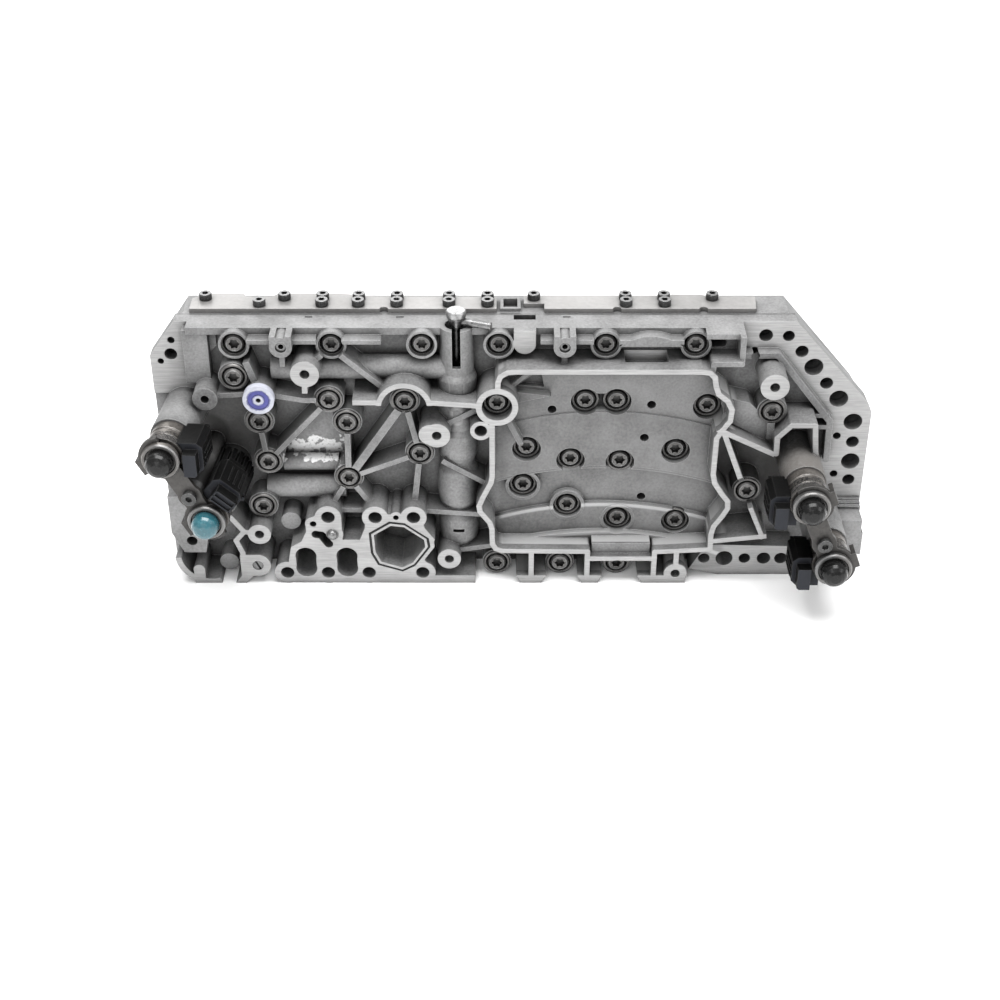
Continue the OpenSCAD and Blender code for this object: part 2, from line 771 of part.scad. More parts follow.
function cover_screw_places() = [
    for (s = cover_screw_rows) for (row = [1, 2]) if (s[row])
        [s[0] * spread_x, row == 1 ? front_row : rear_row]
];

// Oil channels in the back face
module back_channels() {
    depth = 2.4;
    w = 6;
    runs = [
        [[-145, 104], [-145, 78], [-127, 66]], [[-127, 112], [-98, 112], [-88, 100]],
        [[-70, 108], [-40, 108], [-32, 98], [-32, 80]], [[-131, 24], [-116, 24], [-104, 34]],
        [[-100, 76], [-62, 76], [-52, 62]], [[-88, 56], [-60, 56], [-60, 46]],
        [[-26, 62], [-26, 34], [-12, 26]], [[-14, 112], [22, 112]], [[12, 98], [60, 98], [68, 86]],
        [[-10, 76], [14, 76], [14, 50]], [[36, 76], [36, 46], [60, 46]], [[10, 26], [36, 20], [62, 20]],
        [[88, 108], [110, 108], [124, 92]], [[84, 70], [84, 44], [98, 36]],
        [[104, 72], [118, 72], [118, 44]], [[86, 20], [110, 20]], [[132, 82], [132, 44], [142, 34]]
    ];
    for (r = runs) {
        slab(back_y - depth, back_y + 1) chain(lay(r), w);
    }
}

module cover_plate(points) {
    color("lightgray") difference() {
        translate([0, 0, top_z]) linear_extrude(height = cover_t) difference() {
            polygon([for (p = points) [p.x * spread_x, rear_y + p.y]]);
            for (x = [-57.5, 45, 83]) {
                spot([x * spread_x, rear_y + 0.5], 3.6);
            }
        }
        for (s = cover_screw_places()) {
            translate([s.x, s.y, top_z - 1]) cylinder(d = screw_d + 0.4, h = cover_t + 2);
        }
    }
}

// Cover outlines: x, and distance behind the separator plate
module left_cover_plate() {
    cover_plate([
        [-143, 0.5], [-8, 0.5], [-8, 12], [-62, 12.5], [-78, 15.5], [-105, 15.5], [-108, 12.4],
        [-119, 12.4], [-121, 15.5], [-137, 15.5], [-143, 10.5]
    ]);
}

module right_cover_plate() {
    cover_plate([
        [13, 0.5], [106, 0.5], [107, 12.5], [86, 12.5], [83, 14.5], [70, 14.5], [67, 13], [4, 13],
        [4, 5.5], [13, 5.5]
    ]);
}

module cover_screws() {
    color("dimgray") for (s = cover_screw_places()) {
        translate([s.x, s.y, top_z + cover_t]) difference() {
            union() {
                cylinder(d = screw_head_d, h = screw_head_h);
                translate([0, 0, -screw_length - cover_t])
                    cylinder(d = screw_d, h = screw_length + cover_t + 0.2);
            }
            translate([0, 0, screw_head_h - 2]) cylinder(d = screw_head_d * 0.55, h = 3, $fn = 6);
        }
    }
}

module top_row_bolts() {
    color("gray") bolts(top_bolts, ledge_seat);
}

module field_bolts() {
    color("gray") bolts(field_points, field_seat);
}

module tray_bolts() {
    color("gray") bolts(tray_points, tray_seat);
    color("gray") bolts([rim_point], rim_seat);
}

module lower_row_bolts() {
    color("gray") bolts(lower_points, field_seat);
}

// Manual valve: lands in the bore, a slim stem and a tapered head above the casting
module manual_valve() {
    r = manual_bore_d / 2 - fit;
    neck = 3;
    stem = 2;
    head_r = manual_head_d / 2;
    foot = manual_floor + seat_gap;
    color("gainsboro") translate([manual_x, manual_y, 0]) difference() {
        rotate_extrude() polygon([
            [0, foot], [r, foot], [r, foot + 14], [neck, foot + 14], [neck, foot + 26], [r, foot + 26],
            [r, foot + 40], [neck, foot + 40], [neck, foot + 54], [r, foot + 54], [r, top_z - 22],
            [stem, top_z - 22], [stem, top_z - 1], [neck, top_z - 0.5], [neck + 0.4, top_z + 1.8],
            [head_r, top_z + 4.4], [head_r, top_z + 6.4], [head_r - 0.5, top_z + 7], [0, top_z + 7]
        ]);
        rotate([0, 0, pin_turn]) translate([-1.5, 0, pin_z()]) rotate([0, 90, 0]) {
            cylinder(d = pin_d + 2 * fit, h = 10);
        }
    }
}

pin_turn = -20;
function pin_z() = top_z + pin_d / 2 + seat_gap;

// Cross pin of the manual valve, held in its neck
module selector_pin() {
    color("silver") translate([manual_x, manual_y, pin_z()]) rotate([0, 90, pin_turn]) {
        translate([0, 0, -1.4]) cylinder(d = pin_d, h = 17.5);
    }
}

// Spool with three lands
module spool(i) {
    r = spool_bore_d / 2 - fit;
    neck = r * 0.6;
    land = spool_length / 5;
    color("gainsboro") translate([spool_x[i], spool_y, spool_bottom]) rotate_extrude() polygon([
        [0, 0], [r, 0], [r, land], [neck, land], [neck, 2 * land], [r, 2 * land], [r, 3 * land],
        [neck, 3 * land], [neck, 4 * land], [r, 4 * land], [r, 5 * land], [0, 5 * land]
    ]);
}

// Coil spring below a spool
module spring(i) {
    turns = floor((spring_length - spool_travel) / (2.4 * spring_wire));
    steps = 10;
    sides = 6;
    coil_r = spool_bore_d / 2 - spring_wire / 2 - 0.4;
    rise = (spring_length - spring_wire) / turns;
    count = turns * steps;
    points = [
        for (k = [0:count]) for (s = [0:sides - 1])
            let (a = 360 * k / steps, b = 360 * s / sides, r = coil_r + spring_wire / 2 * cos(b))
            [r * cos(a), r * sin(a), spring_wire / 2 + rise * k / steps + spring_wire / 2 * sin(b)]
    ];
    walls = [
        for (k = [0:count - 1]) for (s = [0:sides - 1])
            let (p = k * sides, t = (s + 1) % sides)
            [p + s, p + t, p + sides + t, p + sides + s]
    ];
    ends = [[for (s = [sides - 1:-1:0]) s], [for (s = [0:sides - 1]) count * sides + s]];
    color("slategray") translate([spool_x[i], spool_y, spring_floor + seat_gap]) {
        polyhedron(points = points, faces = concat(walls, ends), convexity = 10);
    }
}

// Plugs above the spools, held down by the cover plates
module spool_plugs() {
    color("gainsboro") for (x = spool_x) {
        translate([x, spool_y, plug_z]) cylinder(d = spool_bore_d - 2 * fit, h = plug_length);
    }
}

// Metal body of one solenoid
module solenoid_body(i) {
    r = can_d / 2;
    n = nose_d / 2;
    tail = nose_length - snout_reach;
    b = snout_reach;
    groove_r = r * groove_share;
    color("silver") at_solenoid(i) turned([
        [0, -tail], [n - 1, -tail], [n, 1 - tail], [n, 4 - tail], [n - 1.2, 4 - tail],
        [n - 1.2, 6 - tail], [n, 6 - tail], [n, b], [r * 0.98, b], [r * 0.98, b + 5],
        [r * 0.91, b + 5.4], [r * 0.91, b + 6], [r * 0.98, b + 6.4], [r * 0.98, b + 10.5],
        [r * 0.93, b + 10.9], [r * 0.93, b + 11.4], [r, b + 11.8], [r, can_reach - clamp_y - clamp_t - 0.2],
        [groove_r, can_reach - clamp_y - clamp_t - 0.2], [groove_r, can_reach - end_ring],
        [r * 0.95, can_reach - end_ring], [r * 0.95, can_reach - 0.6], [r * 0.9, can_reach],
        [r * 0.77, can_reach], [r * 0.73, can_reach - 0.8], [0, can_reach - 0.8]
    ]);
}

// Rubber ring in the groove of each solenoid nose
module solenoid_seals() {
    tail = nose_length - snout_reach;
    color("black") for (i = [0:3]) {
        at_solenoid(i) rotate([90, 0, 0]) translate([0, 0, 5 - tail]) rotate_extrude() {
            translate([nose_d / 2 - 0.6, 0]) circle(d = 1.1);
        }
    }
}

// Moulded connector on the side of a solenoid
module connector(i) {
    turn = solenoids[i][2] - pairs[solenoids[i][0]][2];
    flip = solenoids[i][2] == 180 ? 1 : -1;
    back = -snout_reach + 2;
    front = -can_reach + 5.5;
    color("dimgray") at_solenoid(i) rotate([0, turn, 0]) difference() {
        translate([solenoids[i][3], 0, solenoids[i][4]]) {
            slab(front, back) polygon([
                [5, flip * 12], [14.8, flip * 12], [17.3, flip * 9.5], [17.3, flip * -1], [14.8, flip * -3],
                [5, flip * -3]
            ]);
            slab(front - 5, front + 1) polygon([
                [9.6, flip * 11], [14.4, flip * 11], [15.4, flip * 10], [15.4, 0], [9.6, 0]
            ]);
            slab(back - 1, back + 5) translate([7.5, flip * 4 - 4]) square([8, 8]);
        }
        rod([0, 0], can_d + 0.4, -can_reach - 5, 10);
        rod([0, 0], snout_d + 0.6, -snout_reach - 0.3, 10);
        rotate([0, -turn, 0]) translate([0, 0, -solenoids[i][1] * pair_pitch / 2])
            rod([0, clamp_screw_z], pillar_d + 0.8, -can_reach - 5, 10);
    }
}

// Round cap on the end of a solenoid
module cap(i, tint) {
    r = cap_d / 2;
    color(tint) at_solenoid(i) turned([
        [0, can_reach - 0.8], [r, can_reach - 0.8], [r, can_reach + 2.4], [r * 0.97, can_reach + 3.6],
        [r * 0.86, can_reach + 5], [r * 0.66, can_reach + 6.1], [r * 0.4, can_reach + 6.8],
        [0, can_reach + cap_reach]
    ]);
}

// Forked plate in the grooves of both solenoids of a pair, with bent ears
module clamp(i) {
    half = pair_pitch / 2;
    slot_d = can_d * groove_share + 0.4;
    ear_x = can_d / 2 + 2.2;
    ear_w = 7.6;
    front = -can_reach + clamp_y;
    back = front + clamp_t;
    color("gray") at_pair(i) mirror([i == 0 ? 1 : 0, 0, 0]) difference() {
        union() {
            slab(front, back) {
                intersection() {
                    union() {
                        spot([0, half], can_d * 1.16);
                        spot([0, -half], can_d * 1.16);
                    }
                    translate([-3.4, -pair_pitch]) square([can_d, 2 * pair_pitch]);
                }
                bar([0, half - slot_d / 2 + 1], [0, slot_d / 2 - half - 1], 9.5);
                spot([0, clamp_screw_z], 11);
                for (z = [half, -half]) {
                    translate([slot_d / 2 + 0.6, z - ear_w / 2]) square([ear_x - slot_d / 2, ear_w]);
                }
            }
            for (z = [half, -half]) {
                translate([ear_x - clamp_t + 0.6, front, z - ear_w / 2]) cube([clamp_t, 7, ear_w]);
            }
        }
        slab(front - 1, back + 1) for (z = [half, -half]) {
            spot([0, z], slot_d);
            translate([-can_d, z - slot_d / 2]) square([can_d, slot_d]);
        }
        rod([0, clamp_screw_z], clamp_screw_d + 0.4, front - 1, back + 1);
    }
}

module clamp_screws() {
    color("dimgray") for (i = [0:1]) {
        at_pair(i) translate([0, -can_reach + clamp_y, clamp_screw_z]) rotate([90, 0, 0]) difference() {
            union() {
                cylinder(d = clamp_screw_d * 1.6, h = 2.4);
                translate([0, 0, -clamp_t - clamp_screw_grip])
                    cylinder(d = clamp_screw_d, h = clamp_t + clamp_screw_grip + 0.2);
            }
            translate([0, 0, 1]) cylinder(d = clamp_screw_d * 0.8, h = 3, $fn = 6);
        }
    }
}

// Rubber seal around the oil inlet
module port_seal() {
    slack = 0.008;
    color("black") slab(0.2, groove_depth) difference() {
        polygon(about(port_shape, port_centre, seal_scale - slack));
        polygon(about(port_shape, port_centre, lip_scale + slack));
    }
}

// Locating pin in the port face
module port_dowel_pin() {
    color("silver") {
        rod(port_dowel, dowel_d, 0, 10);
        translate([port_dowel.x, 0.2, port_dowel.y]) sphere(d = dowel_d * 0.92);
    }
}

// Spring pins in the top rail
module rail_dowels() {
    d = dowel_d - 0.8;
    color("silver") for (p = rail_pins) {
        difference() {
            rod(p, d, 4.6, 14);
            rod(p, d * 0.5, 4, 12);
        }
    }
}

// Screw plug with a slot at the lower left
module slotted_plug() {
    color("gray") difference() {
        rod(slotted_point, slotted_d, 0.4, 8);
        translate([slotted_point.x, 0.4, slotted_point.y]) rotate([0, -25, 0])
            cube([1, 2, 8], center = true);
    }
}

// White bush with a blue ring
module restrictor_bush() {
    color("white") difference() {
        union() {
            rod(restrictor, bush_d, 0, bush_t);
            rod(restrictor, 6, bush_t - 1, 10);
        }
        rod(restrictor, 2.2, -1, 11);
        slab(-1, 1) difference() {
            spot(restrictor, 9.4);
            spot(restrictor, 5.2);
        }
    }
}

module restrictor_seal() {
    color("mediumblue") slab(0.3, 1) difference() {
        spot(restrictor, 9.3);
        spot(restrictor, 5.3);
    }
}

place() front_housing();
place() separator_plate();
place() rear_housing();
place() left_cover_plate();
place() right_cover_plate();
place() cover_screws();
place() top_row_bolts();
place() field_bolts();
place() tray_bolts();
place() lower_row_bolts();
place() manual_valve();
place() selector_pin();
for (i = [0:4]) {
    place() spool(i);
    place() spring(i);
}
place() spool_plugs();
place() solenoid_body(0);  // left_upper_solenoid
place() solenoid_body(1);  // left_lower_solenoid
place() solenoid_body(2);  // right_upper_solenoid
place() solenoid_body(3);  // right_lower_solenoid
place() connector(0);  // left_upper_connector
place() connector(1);  // left_lower_connector
place() connector(2);  // right_upper_connector
place() connector(3);  // right_lower_connector
place() cap(0, "black");  // left_upper_cap
place() cap(1, "darkcyan");  // left_lower_cap
place() cap(2, "black");  // right_upper_cap
place() cap(3, "black");  // right_lower_cap
place() solenoid_seals();
place() clamp(0);  // left_clamp
place() clamp(1);  // right_clamp
place() clamp_screws();
place() port_seal();
place() port_dowel_pin();  // port_dowel
place() rail_dowels();
place() slotted_plug();
place() restrictor_bush();
place() restrictor_seal();
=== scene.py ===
import math
import bpy
from mathutils import Matrix, Vector


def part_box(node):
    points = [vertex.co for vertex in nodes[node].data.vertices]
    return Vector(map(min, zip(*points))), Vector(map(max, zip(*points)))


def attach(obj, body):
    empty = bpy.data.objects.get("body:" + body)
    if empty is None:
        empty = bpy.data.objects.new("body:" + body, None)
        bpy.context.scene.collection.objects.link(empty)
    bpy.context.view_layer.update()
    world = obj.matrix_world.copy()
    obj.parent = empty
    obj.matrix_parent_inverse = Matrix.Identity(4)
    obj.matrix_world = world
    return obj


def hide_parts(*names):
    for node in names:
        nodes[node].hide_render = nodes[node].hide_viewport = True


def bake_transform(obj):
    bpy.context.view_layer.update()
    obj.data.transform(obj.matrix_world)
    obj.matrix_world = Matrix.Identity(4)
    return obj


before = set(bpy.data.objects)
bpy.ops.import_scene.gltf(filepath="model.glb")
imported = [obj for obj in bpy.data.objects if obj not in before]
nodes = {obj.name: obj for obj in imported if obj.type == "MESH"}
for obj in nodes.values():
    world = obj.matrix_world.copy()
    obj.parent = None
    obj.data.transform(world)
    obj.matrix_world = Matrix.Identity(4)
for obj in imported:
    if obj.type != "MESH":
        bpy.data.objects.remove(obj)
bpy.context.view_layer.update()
scene = bpy.context.scene
print("frame loaded,", len(nodes), "nodes")

mm = 0.001


# camera at the photograph's angle
cameraSet = {"place": (-6.5, -644.4, 471.7), "pitch": 33.5, "lens": 61.2, "sensor": 36, "clip": 0.01}
camData = bpy.data.cameras.new("camera")
camData.lens = cameraSet["lens"]
camData.sensor_width = cameraSet["sensor"]
camData.clip_start = cameraSet["clip"]
cam = bpy.data.objects.new("camera", camData)
cam.location = [v * mm for v in cameraSet["place"]]
cam.rotation_euler = (math.radians(90 - cameraSet["pitch"]), 0, 0)
scene.collection.objects.link(cam)
scene.camera = cam
print("camera placed")


# soft studio light, strongest from above
lightSet = {
    "top": {"at": (0.0, -0.1, 1.4), "size": (1.3, 0.8), "power": 34},
    "front": {"at": (-0.35, -1.5, 0.9), "size": (1.0, 0.8), "power": 11},
    "right": {"at": (1.3, -0.5, 0.9), "size": (0.8, 0.8), "power": 8},
    "back": {"at": (-0.3, 1.2, 1.0), "size": (1.0, 0.6), "power": 8},
}
studioSet = {"aim": (0, 0, 0.06), "world": 0.6}


def areaLight(name, spot):
    data = bpy.data.lights.new(name, "AREA")
    data.shape = "RECTANGLE"
    data.size, data.size_y = spot["size"]
    data.energy = spot["power"]
    lamp = bpy.data.objects.new(name, data)
    lamp.location = spot["at"]
    aim = Vector(studioSet["aim"]) - Vector(spot["at"])
    lamp.rotation_euler = aim.to_track_quat("-Z", "Y").to_euler()
    scene.collection.objects.link(lamp)


for lampName, lampSpot in lightSet.items():
    areaLight(lampName + "Light", lampSpot)
world = bpy.data.worlds.new("studio")
world.use_nodes = True
sky = world.node_tree.nodes["Background"].inputs
sky["Color"].default_value = (1, 1, 1, 1)
sky["Strength"].default_value = studioSet["world"]
scene.world = world
scene.view_settings.view_transform = "Standard"
print("lights placed")


def addNode(tree, kind, sockets=None, **props):
    made = tree.nodes.new(kind)
    for key, value in props.items():
        setattr(made, key, value)
    for key, value in (sockets or {}).items():
        if isinstance(value, bpy.types.NodeSocket):
            tree.links.new(value, made.inputs[key])
        else:
            made.inputs[key].default_value = value
    return made


def newGroup(name, kind, inputs, outputs):
    group = bpy.data.node_groups.new(name, kind)
    for direction, rows in (("INPUT", inputs), ("OUTPUT", outputs)):
        for label, socket in rows:
            group.interface.new_socket(label, in_out=direction, socket_type="NodeSocket" + socket)
    return group, addNode(group, "NodeGroupInput").outputs, addNode(group, "NodeGroupOutput").inputs


def useGroup(tree, group, sockets):
    return addNode(tree, "ShaderNodeGroup", sockets, node_tree=group).outputs


def calc(tree, operation, a, b=0.0):
    return addNode(tree, "ShaderNodeMath", {0: a, 1: b}, operation=operation).outputs[0]


def times(tree, mask, *others):
    for other in others:
        mask = calc(tree, "MULTIPLY", mask, other)
    return mask


def blend(tree, factor, a, b, mode="MIX"):
    # sockets 0, 6 and 7 are the factor and both colours of a colour mix
    made = addNode(tree, "ShaderNodeMix", {0: factor, 6: a, 7: b}, data_type="RGBA", blend_type=mode)
    return made.outputs[2]


def remap(tree, value, low, high, outLow=0.0, outHigh=1.0):
    made = addNode(tree, "ShaderNodeMapRange", {0: value, 1: low, 2: high, 3: outLow, 4: outHigh})
    return made.outputs[0]


def noise(tree, vector, look):
    sockets = {"Vector": vector, "Scale": look["scale"], "Detail": look["detail"]}
    return addNode(tree, "ShaderNodeTexNoise", sockets).outputs[0]


# outer edges, part wear and part painted highlight: softened normal and a mask of the outer edges
edgeSet = {"samples": 4, "span": (0.985, 0.8)}
edgeGroup, source, target = newGroup("wornAndHighlightedEdges", "ShaderNodeTree", [("Radius", "Float")],
                                     [("Edge", "Float"), ("Normal", "Vector")])
bevel = addNode(edgeGroup, "ShaderNodeBevel", {"Radius": source["Radius"]}, samples=edgeSet["samples"])
geometry = addNode(edgeGroup, "ShaderNodeNewGeometry")
facing = addNode(edgeGroup, "ShaderNodeVectorMath",
                 {0: bevel.outputs[0], 1: geometry.outputs["True Normal"]}, operation="DOT_PRODUCT")
edgeGroup.links.new(remap(edgeGroup, facing.outputs["Value"], *edgeSet["span"]), target["Edge"])
edgeGroup.links.new(bevel.outputs[0], target["Normal"])

# how open a point is, with deep pockets near 0
cavitySet = {"samples": 6}
cavityGroup, source, target = newGroup("cavity", "ShaderNodeTree",
                                       [("Reach", "Float"), ("Normal", "Vector")], [("Open", "Float")])
occlusion = addNode(cavityGroup, "ShaderNodeAmbientOcclusion",
                    {"Distance": source["Reach"], "Normal": source["Normal"]}, samples=cavitySet["samples"])
cavityGroup.links.new(occlusion.outputs["AO"], target["Open"])

# fine grain and slow stains from object coordinates
grainSet = {"fineDetail": 5.0, "fineRoughness": 0.65, "slowDetail": 4.0, "slowShare": 0.06}
grainGroup, source, target = newGroup("grain", "ShaderNodeTree", [("Place", "Vector"), ("Scale", "Float")],
                                      [("Fine", "Float"), ("Slow", "Float")])
fine = addNode(grainGroup, "ShaderNodeTexNoise", {
    "Vector": source["Place"], "Scale": source["Scale"],
    "Detail": grainSet["fineDetail"], "Roughness": grainSet["fineRoughness"]})
slow = addNode(grainGroup, "ShaderNodeTexNoise", {
    "Vector": source["Place"], "Scale": times(grainGroup, source["Scale"], grainSet["slowShare"]),
    "Detail": grainSet["slowDetail"]})
grainGroup.links.new(fine.outputs[0], target["Fine"])
grainGroup.links.new(slow.outputs[0], target["Slow"])
print("shader groups ready")


def newMaterial(name):
    mat = bpy.data.materials.new(name)
    mat.use_nodes = True
    return mat, mat.node_tree.nodes["Principled BSDF"]


def wear(names, mat):
    for name in names:
        data = nodes[name].data
        data.materials.clear()
        data.materials.append(mat)


def grey(value, warm=0.0):
    return (value * (1 + warm), value, value * (1 - warm), 1)


# what a finish has unless its own settings say otherwise, with lengths in mm
finishBase = {
    "scale": 700.0, "toneSpan": (0.36, 0.62), "grainSpan": (0.3, 0.7), "roughSpread": 0.08,
    "metal": 0.0, "gloss": 0.5, "coat": 0.0, "coatRough": 0.12, "bump": 0.2, "bumpDepth": 0.3,
    "edge": 0.5, "edgeRadius": 0.4, "reach": 8, "pocket": 1.2, "shade": 0.15,
    "tight": 2.5, "holeShade": 0.9, "holeShadePower": 1.5, "holeShadeSpan": (0.6, 0.05), "holeShadeTone": grey(0.006, 0.05),
}


# one finish: two tones with grain and a tint of its own, then edges lightened as wear and painted
# highlight, painted shade in pockets, and painted shade in holes and tight corners
def finish(name, settings):
    look = {**finishBase, "edgeTone": settings["light"], **settings}
    mat, shader = newMaterial(name)
    tree = mat.node_tree
    coords = addNode(tree, "ShaderNodeTexCoord")
    edges = useGroup(tree, edgeGroup, {"Radius": look["edgeRadius"] * mm})
    grain = useGroup(tree, grainGroup, {"Place": coords.outputs["Object"], "Scale": look["scale"]})
    tone = calc(tree, "ADD", times(tree, grain["Fine"], 0.5), times(tree, grain["Slow"], 0.5))
    color = blend(tree, remap(tree, tone, *look["toneSpan"]), look["dark"], look["light"])
    if "tint" in look:
        color = look["tint"](tree, coords, grain, color)

    cavity = useGroup(tree, cavityGroup, {"Reach": look["reach"] * mm, "Normal": edges["Normal"]})
    openness = calc(tree, "POWER", cavity["Open"], look["pocket"])
    # outer edges lightened towards the edge tone: part wear, part painted highlight
    color = blend(tree, times(tree, edges["Edge"], look["edge"], openness), color, look["edgeTone"])
    # painted shade: pockets are darkened by how closed they are
    shade = remap(tree, openness, 0.0, 1.0, look["shade"], 1.0)
    shadeColor = addNode(tree, "ShaderNodeCombineColor", {0: shade, 1: shade, 2: shade})
    color = blend(tree, 1.0, color, shadeColor.outputs[0], "MULTIPLY")

    # painted shade: holes and tight corners are darkened towards a near-black tone and made less metallic
    tight = useGroup(tree, cavityGroup, {"Reach": look["tight"] * mm, "Normal": edges["Normal"]})
    closed = calc(tree, "POWER", tight["Open"], look["holeShadePower"])
    holeShade = remap(tree, closed, *look["holeShadeSpan"], 0.0, look["holeShade"])
    tree.links.new(blend(tree, holeShade, color, look["holeShadeTone"]), shader.inputs["Base Color"])
    if look["metal"]:
        tree.links.new(remap(tree, holeShade, 0.0, 1.0, look["metal"], 0.0), shader.inputs["Metallic"])

    smooth = look["rough"] - look["roughSpread"]
    coarse = look["rough"] + look["roughSpread"]
    roughness = remap(tree, grain["Fine"], *look["grainSpan"], smooth, coarse)
    tree.links.new(roughness, shader.inputs["Roughness"])
    shader.inputs["Specular IOR Level"].default_value = look["gloss"]
    shader.inputs["Coat Weight"].default_value = look["coat"]
    shader.inputs["Coat Roughness"].default_value = look["coatRough"]
    bump = addNode(tree, "ShaderNodeBump", {
        "Strength": look["bump"], "Distance": look["bumpDepth"] * mm,
        "Height": grain["Fine"], "Normal": edges["Normal"]})
    tree.links.new(bump.outputs[0], shader.inputs["Normal"])
    return mat


def axes(tree, coords, kind):
    return addNode(tree, "ShaderNodeSeparateXYZ", {0: coords.outputs[kind]}).outputs


def near(tree, value, middle, reach, soft):
    # 1 where the value is within reach of the middle, falling to 0 over the soft distance; all in mm
    gap = calc(tree, "ABSOLUTE", calc(tree, "SUBTRACT", value, middle * mm))
    return remap(tree, gap, (reach + soft) * mm, reach * mm)


def awayFrom(tree, place, x, z):
    # distance from the line through x and z that runs straight back
    across = calc(tree, "POWER", calc(tree, "SUBTRACT", place["X"], x * mm), 2.0)
    upward = calc(tree, "POWER", calc(tree, "SUBTRACT", place["Z"], z * mm), 2.0)
    return calc(tree, "SQRT", calc(tree, "ADD", across, upward))


# painted shade: dark patches round the left connectors, on their clamp pillar and in the pockets right of
# the tray
shadeSpotSet = {
    "spots": (
        {"x": -127, "z": 68, "inner": 14, "outer": 34, "depth": (10, 9), "strength": 0.75},
        {"x": -139.5, "z": 70.5, "inner": 9, "outer": 11, "depth": (-2, 21), "strength": 0.9},
        {"x": 109, "z": 52, "inner": 15, "outer": 23, "depth": (12, 9), "strength": 0.95},
    ),
    "soft": 1, "patches": (0.35, 0.6), "thinnest": 0.6, "tone": grey(0.03, 0.04),
}


def shadeSpotTint(tree, coords, grain, color):
    place = axes(tree, coords, "Object")
    for spot in shadeSpotSet["spots"]:
        away = awayFrom(tree, place, spot["x"], spot["z"])
        full = spot["strength"]
        patches = remap(tree, grain["Slow"], *shadeSpotSet["patches"], shadeSpotSet["thinnest"] * full, full)
        cover = times(tree, remap(tree, away, spot["outer"] * mm, spot["inner"] * mm),
                      near(tree, place["Y"], *spot["depth"], shadeSpotSet["soft"]), patches)
        # painted shade laid over the colour at each spot
        color = blend(tree, cover, color, shadeSpotSet["tone"])
    return color


# milled planes: the front faces at three depths, the tongue in the top wall and the back
milledSet = {
    "planes": (-2.0, 5.0, 16.0), "slack": (0.25, 0.1), "facing": (0.9, 0.98),
    "tongue": {"x": (4.3, 5, 0.2), "y": 7.0}, "back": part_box("rear_housing")[1].y / mm, "backShare": 0.7,
    "patches": (0.25, 0.6), "thinnest": 0.72, "stretch": (0.06, 1.0, 1.0),
    "marks": {"scale": 1600.0, "detail": 2.0}, "markSpan": (0.35, 0.65),
    "dull": grey(0.31, 0.004), "bright": grey(0.39, 0.004),
}


def milledTint(tree, coords, grain, color):
    normal = axes(tree, coords, "Normal")
    place = axes(tree, coords, "Object")
    slack = milledSet["slack"]
    tongue = milledSet["tongue"]
    plane = times(tree, near(tree, place["X"], *tongue["x"]), near(tree, place["Y"], tongue["y"], *slack))
    for y in milledSet["planes"]:
        plane = calc(tree, "MAXIMUM", plane, near(tree, place["Y"], y, *slack))
    front = times(tree, remap(tree, normal["Y"], *(-v for v in milledSet["facing"])), plane)
    back = times(tree, remap(tree, normal["Y"], *milledSet["facing"]),
                 near(tree, place["Y"], milledSet["back"], *slack), milledSet["backShare"])
    patches = remap(tree, grain["Slow"], *milledSet["patches"], milledSet["thinnest"], 1.0)
    milled = times(tree, calc(tree, "MAXIMUM", front, back), patches)
    stretched = addNode(tree, "ShaderNodeMapping",
                        {"Vector": coords.outputs["Object"], "Scale": milledSet["stretch"]})
    marks = remap(tree, noise(tree, stretched.outputs[0], milledSet["marks"]), *milledSet["markSpan"])
    return blend(tree, milled, color, blend(tree, marks, milledSet["dull"], milledSet["bright"]))


# brown varnish on the right upper snout, with painted shade darkening it towards its root
snoutSet = {
    "x": 128.4, "z": 62.7, "radius": 9.8, "soft": 0.5, "depth": (1, 16.5), "fade": (-6, 9),
    "tip": grey(0.12, 0.09), "root": grey(0.03, 0.04), "patches": (0.3, 0.65), "cover": (0.95, 0.6),
}


def snoutTint(tree, coords, grain, color):
    place = axes(tree, coords, "Object")
    radius, soft = snoutSet["radius"], snoutSet["soft"]
    away = awayFrom(tree, place, snoutSet["x"], snoutSet["z"])
    cover = times(tree, remap(tree, away, (radius + soft) * mm, radius * mm),
                  near(tree, place["Y"], *snoutSet["depth"], soft),
                  remap(tree, grain["Fine"], *snoutSet["patches"], *snoutSet["cover"]))
    # painted shade: darker the deeper it lies
    rootShade = remap(tree, place["Y"], *(v * mm for v in snoutSet["fade"]))
    return blend(tree, cover, color, blend(tree, rootShade, snoutSet["tip"], snoutSet["root"]))


# thin oil in the tray, with painted light where faces look up and a painted highlight on the lips of its
# curved steps
traySet = {
    "x": (45.5, 51, 2), "y": (10.5, 8, 0.5), "z": (58, 53, 2), "oil": 0.3, "oilTone": grey(0.05, 0.02),
    "upward": (0.25, 0.8), "upwardShare": 0.75, "paintedLightTone": grey(0.6),
    "stepX": 40, "stepRadius": 160, "litLip": {"below": 0.7, "reach": 0.5, "soft": 0.9},
    "steps": ({"top": 56, "share": 0.12}, {"top": 36.5, "share": 0.5}, {"top": 22.5, "share": 0.6}),
}


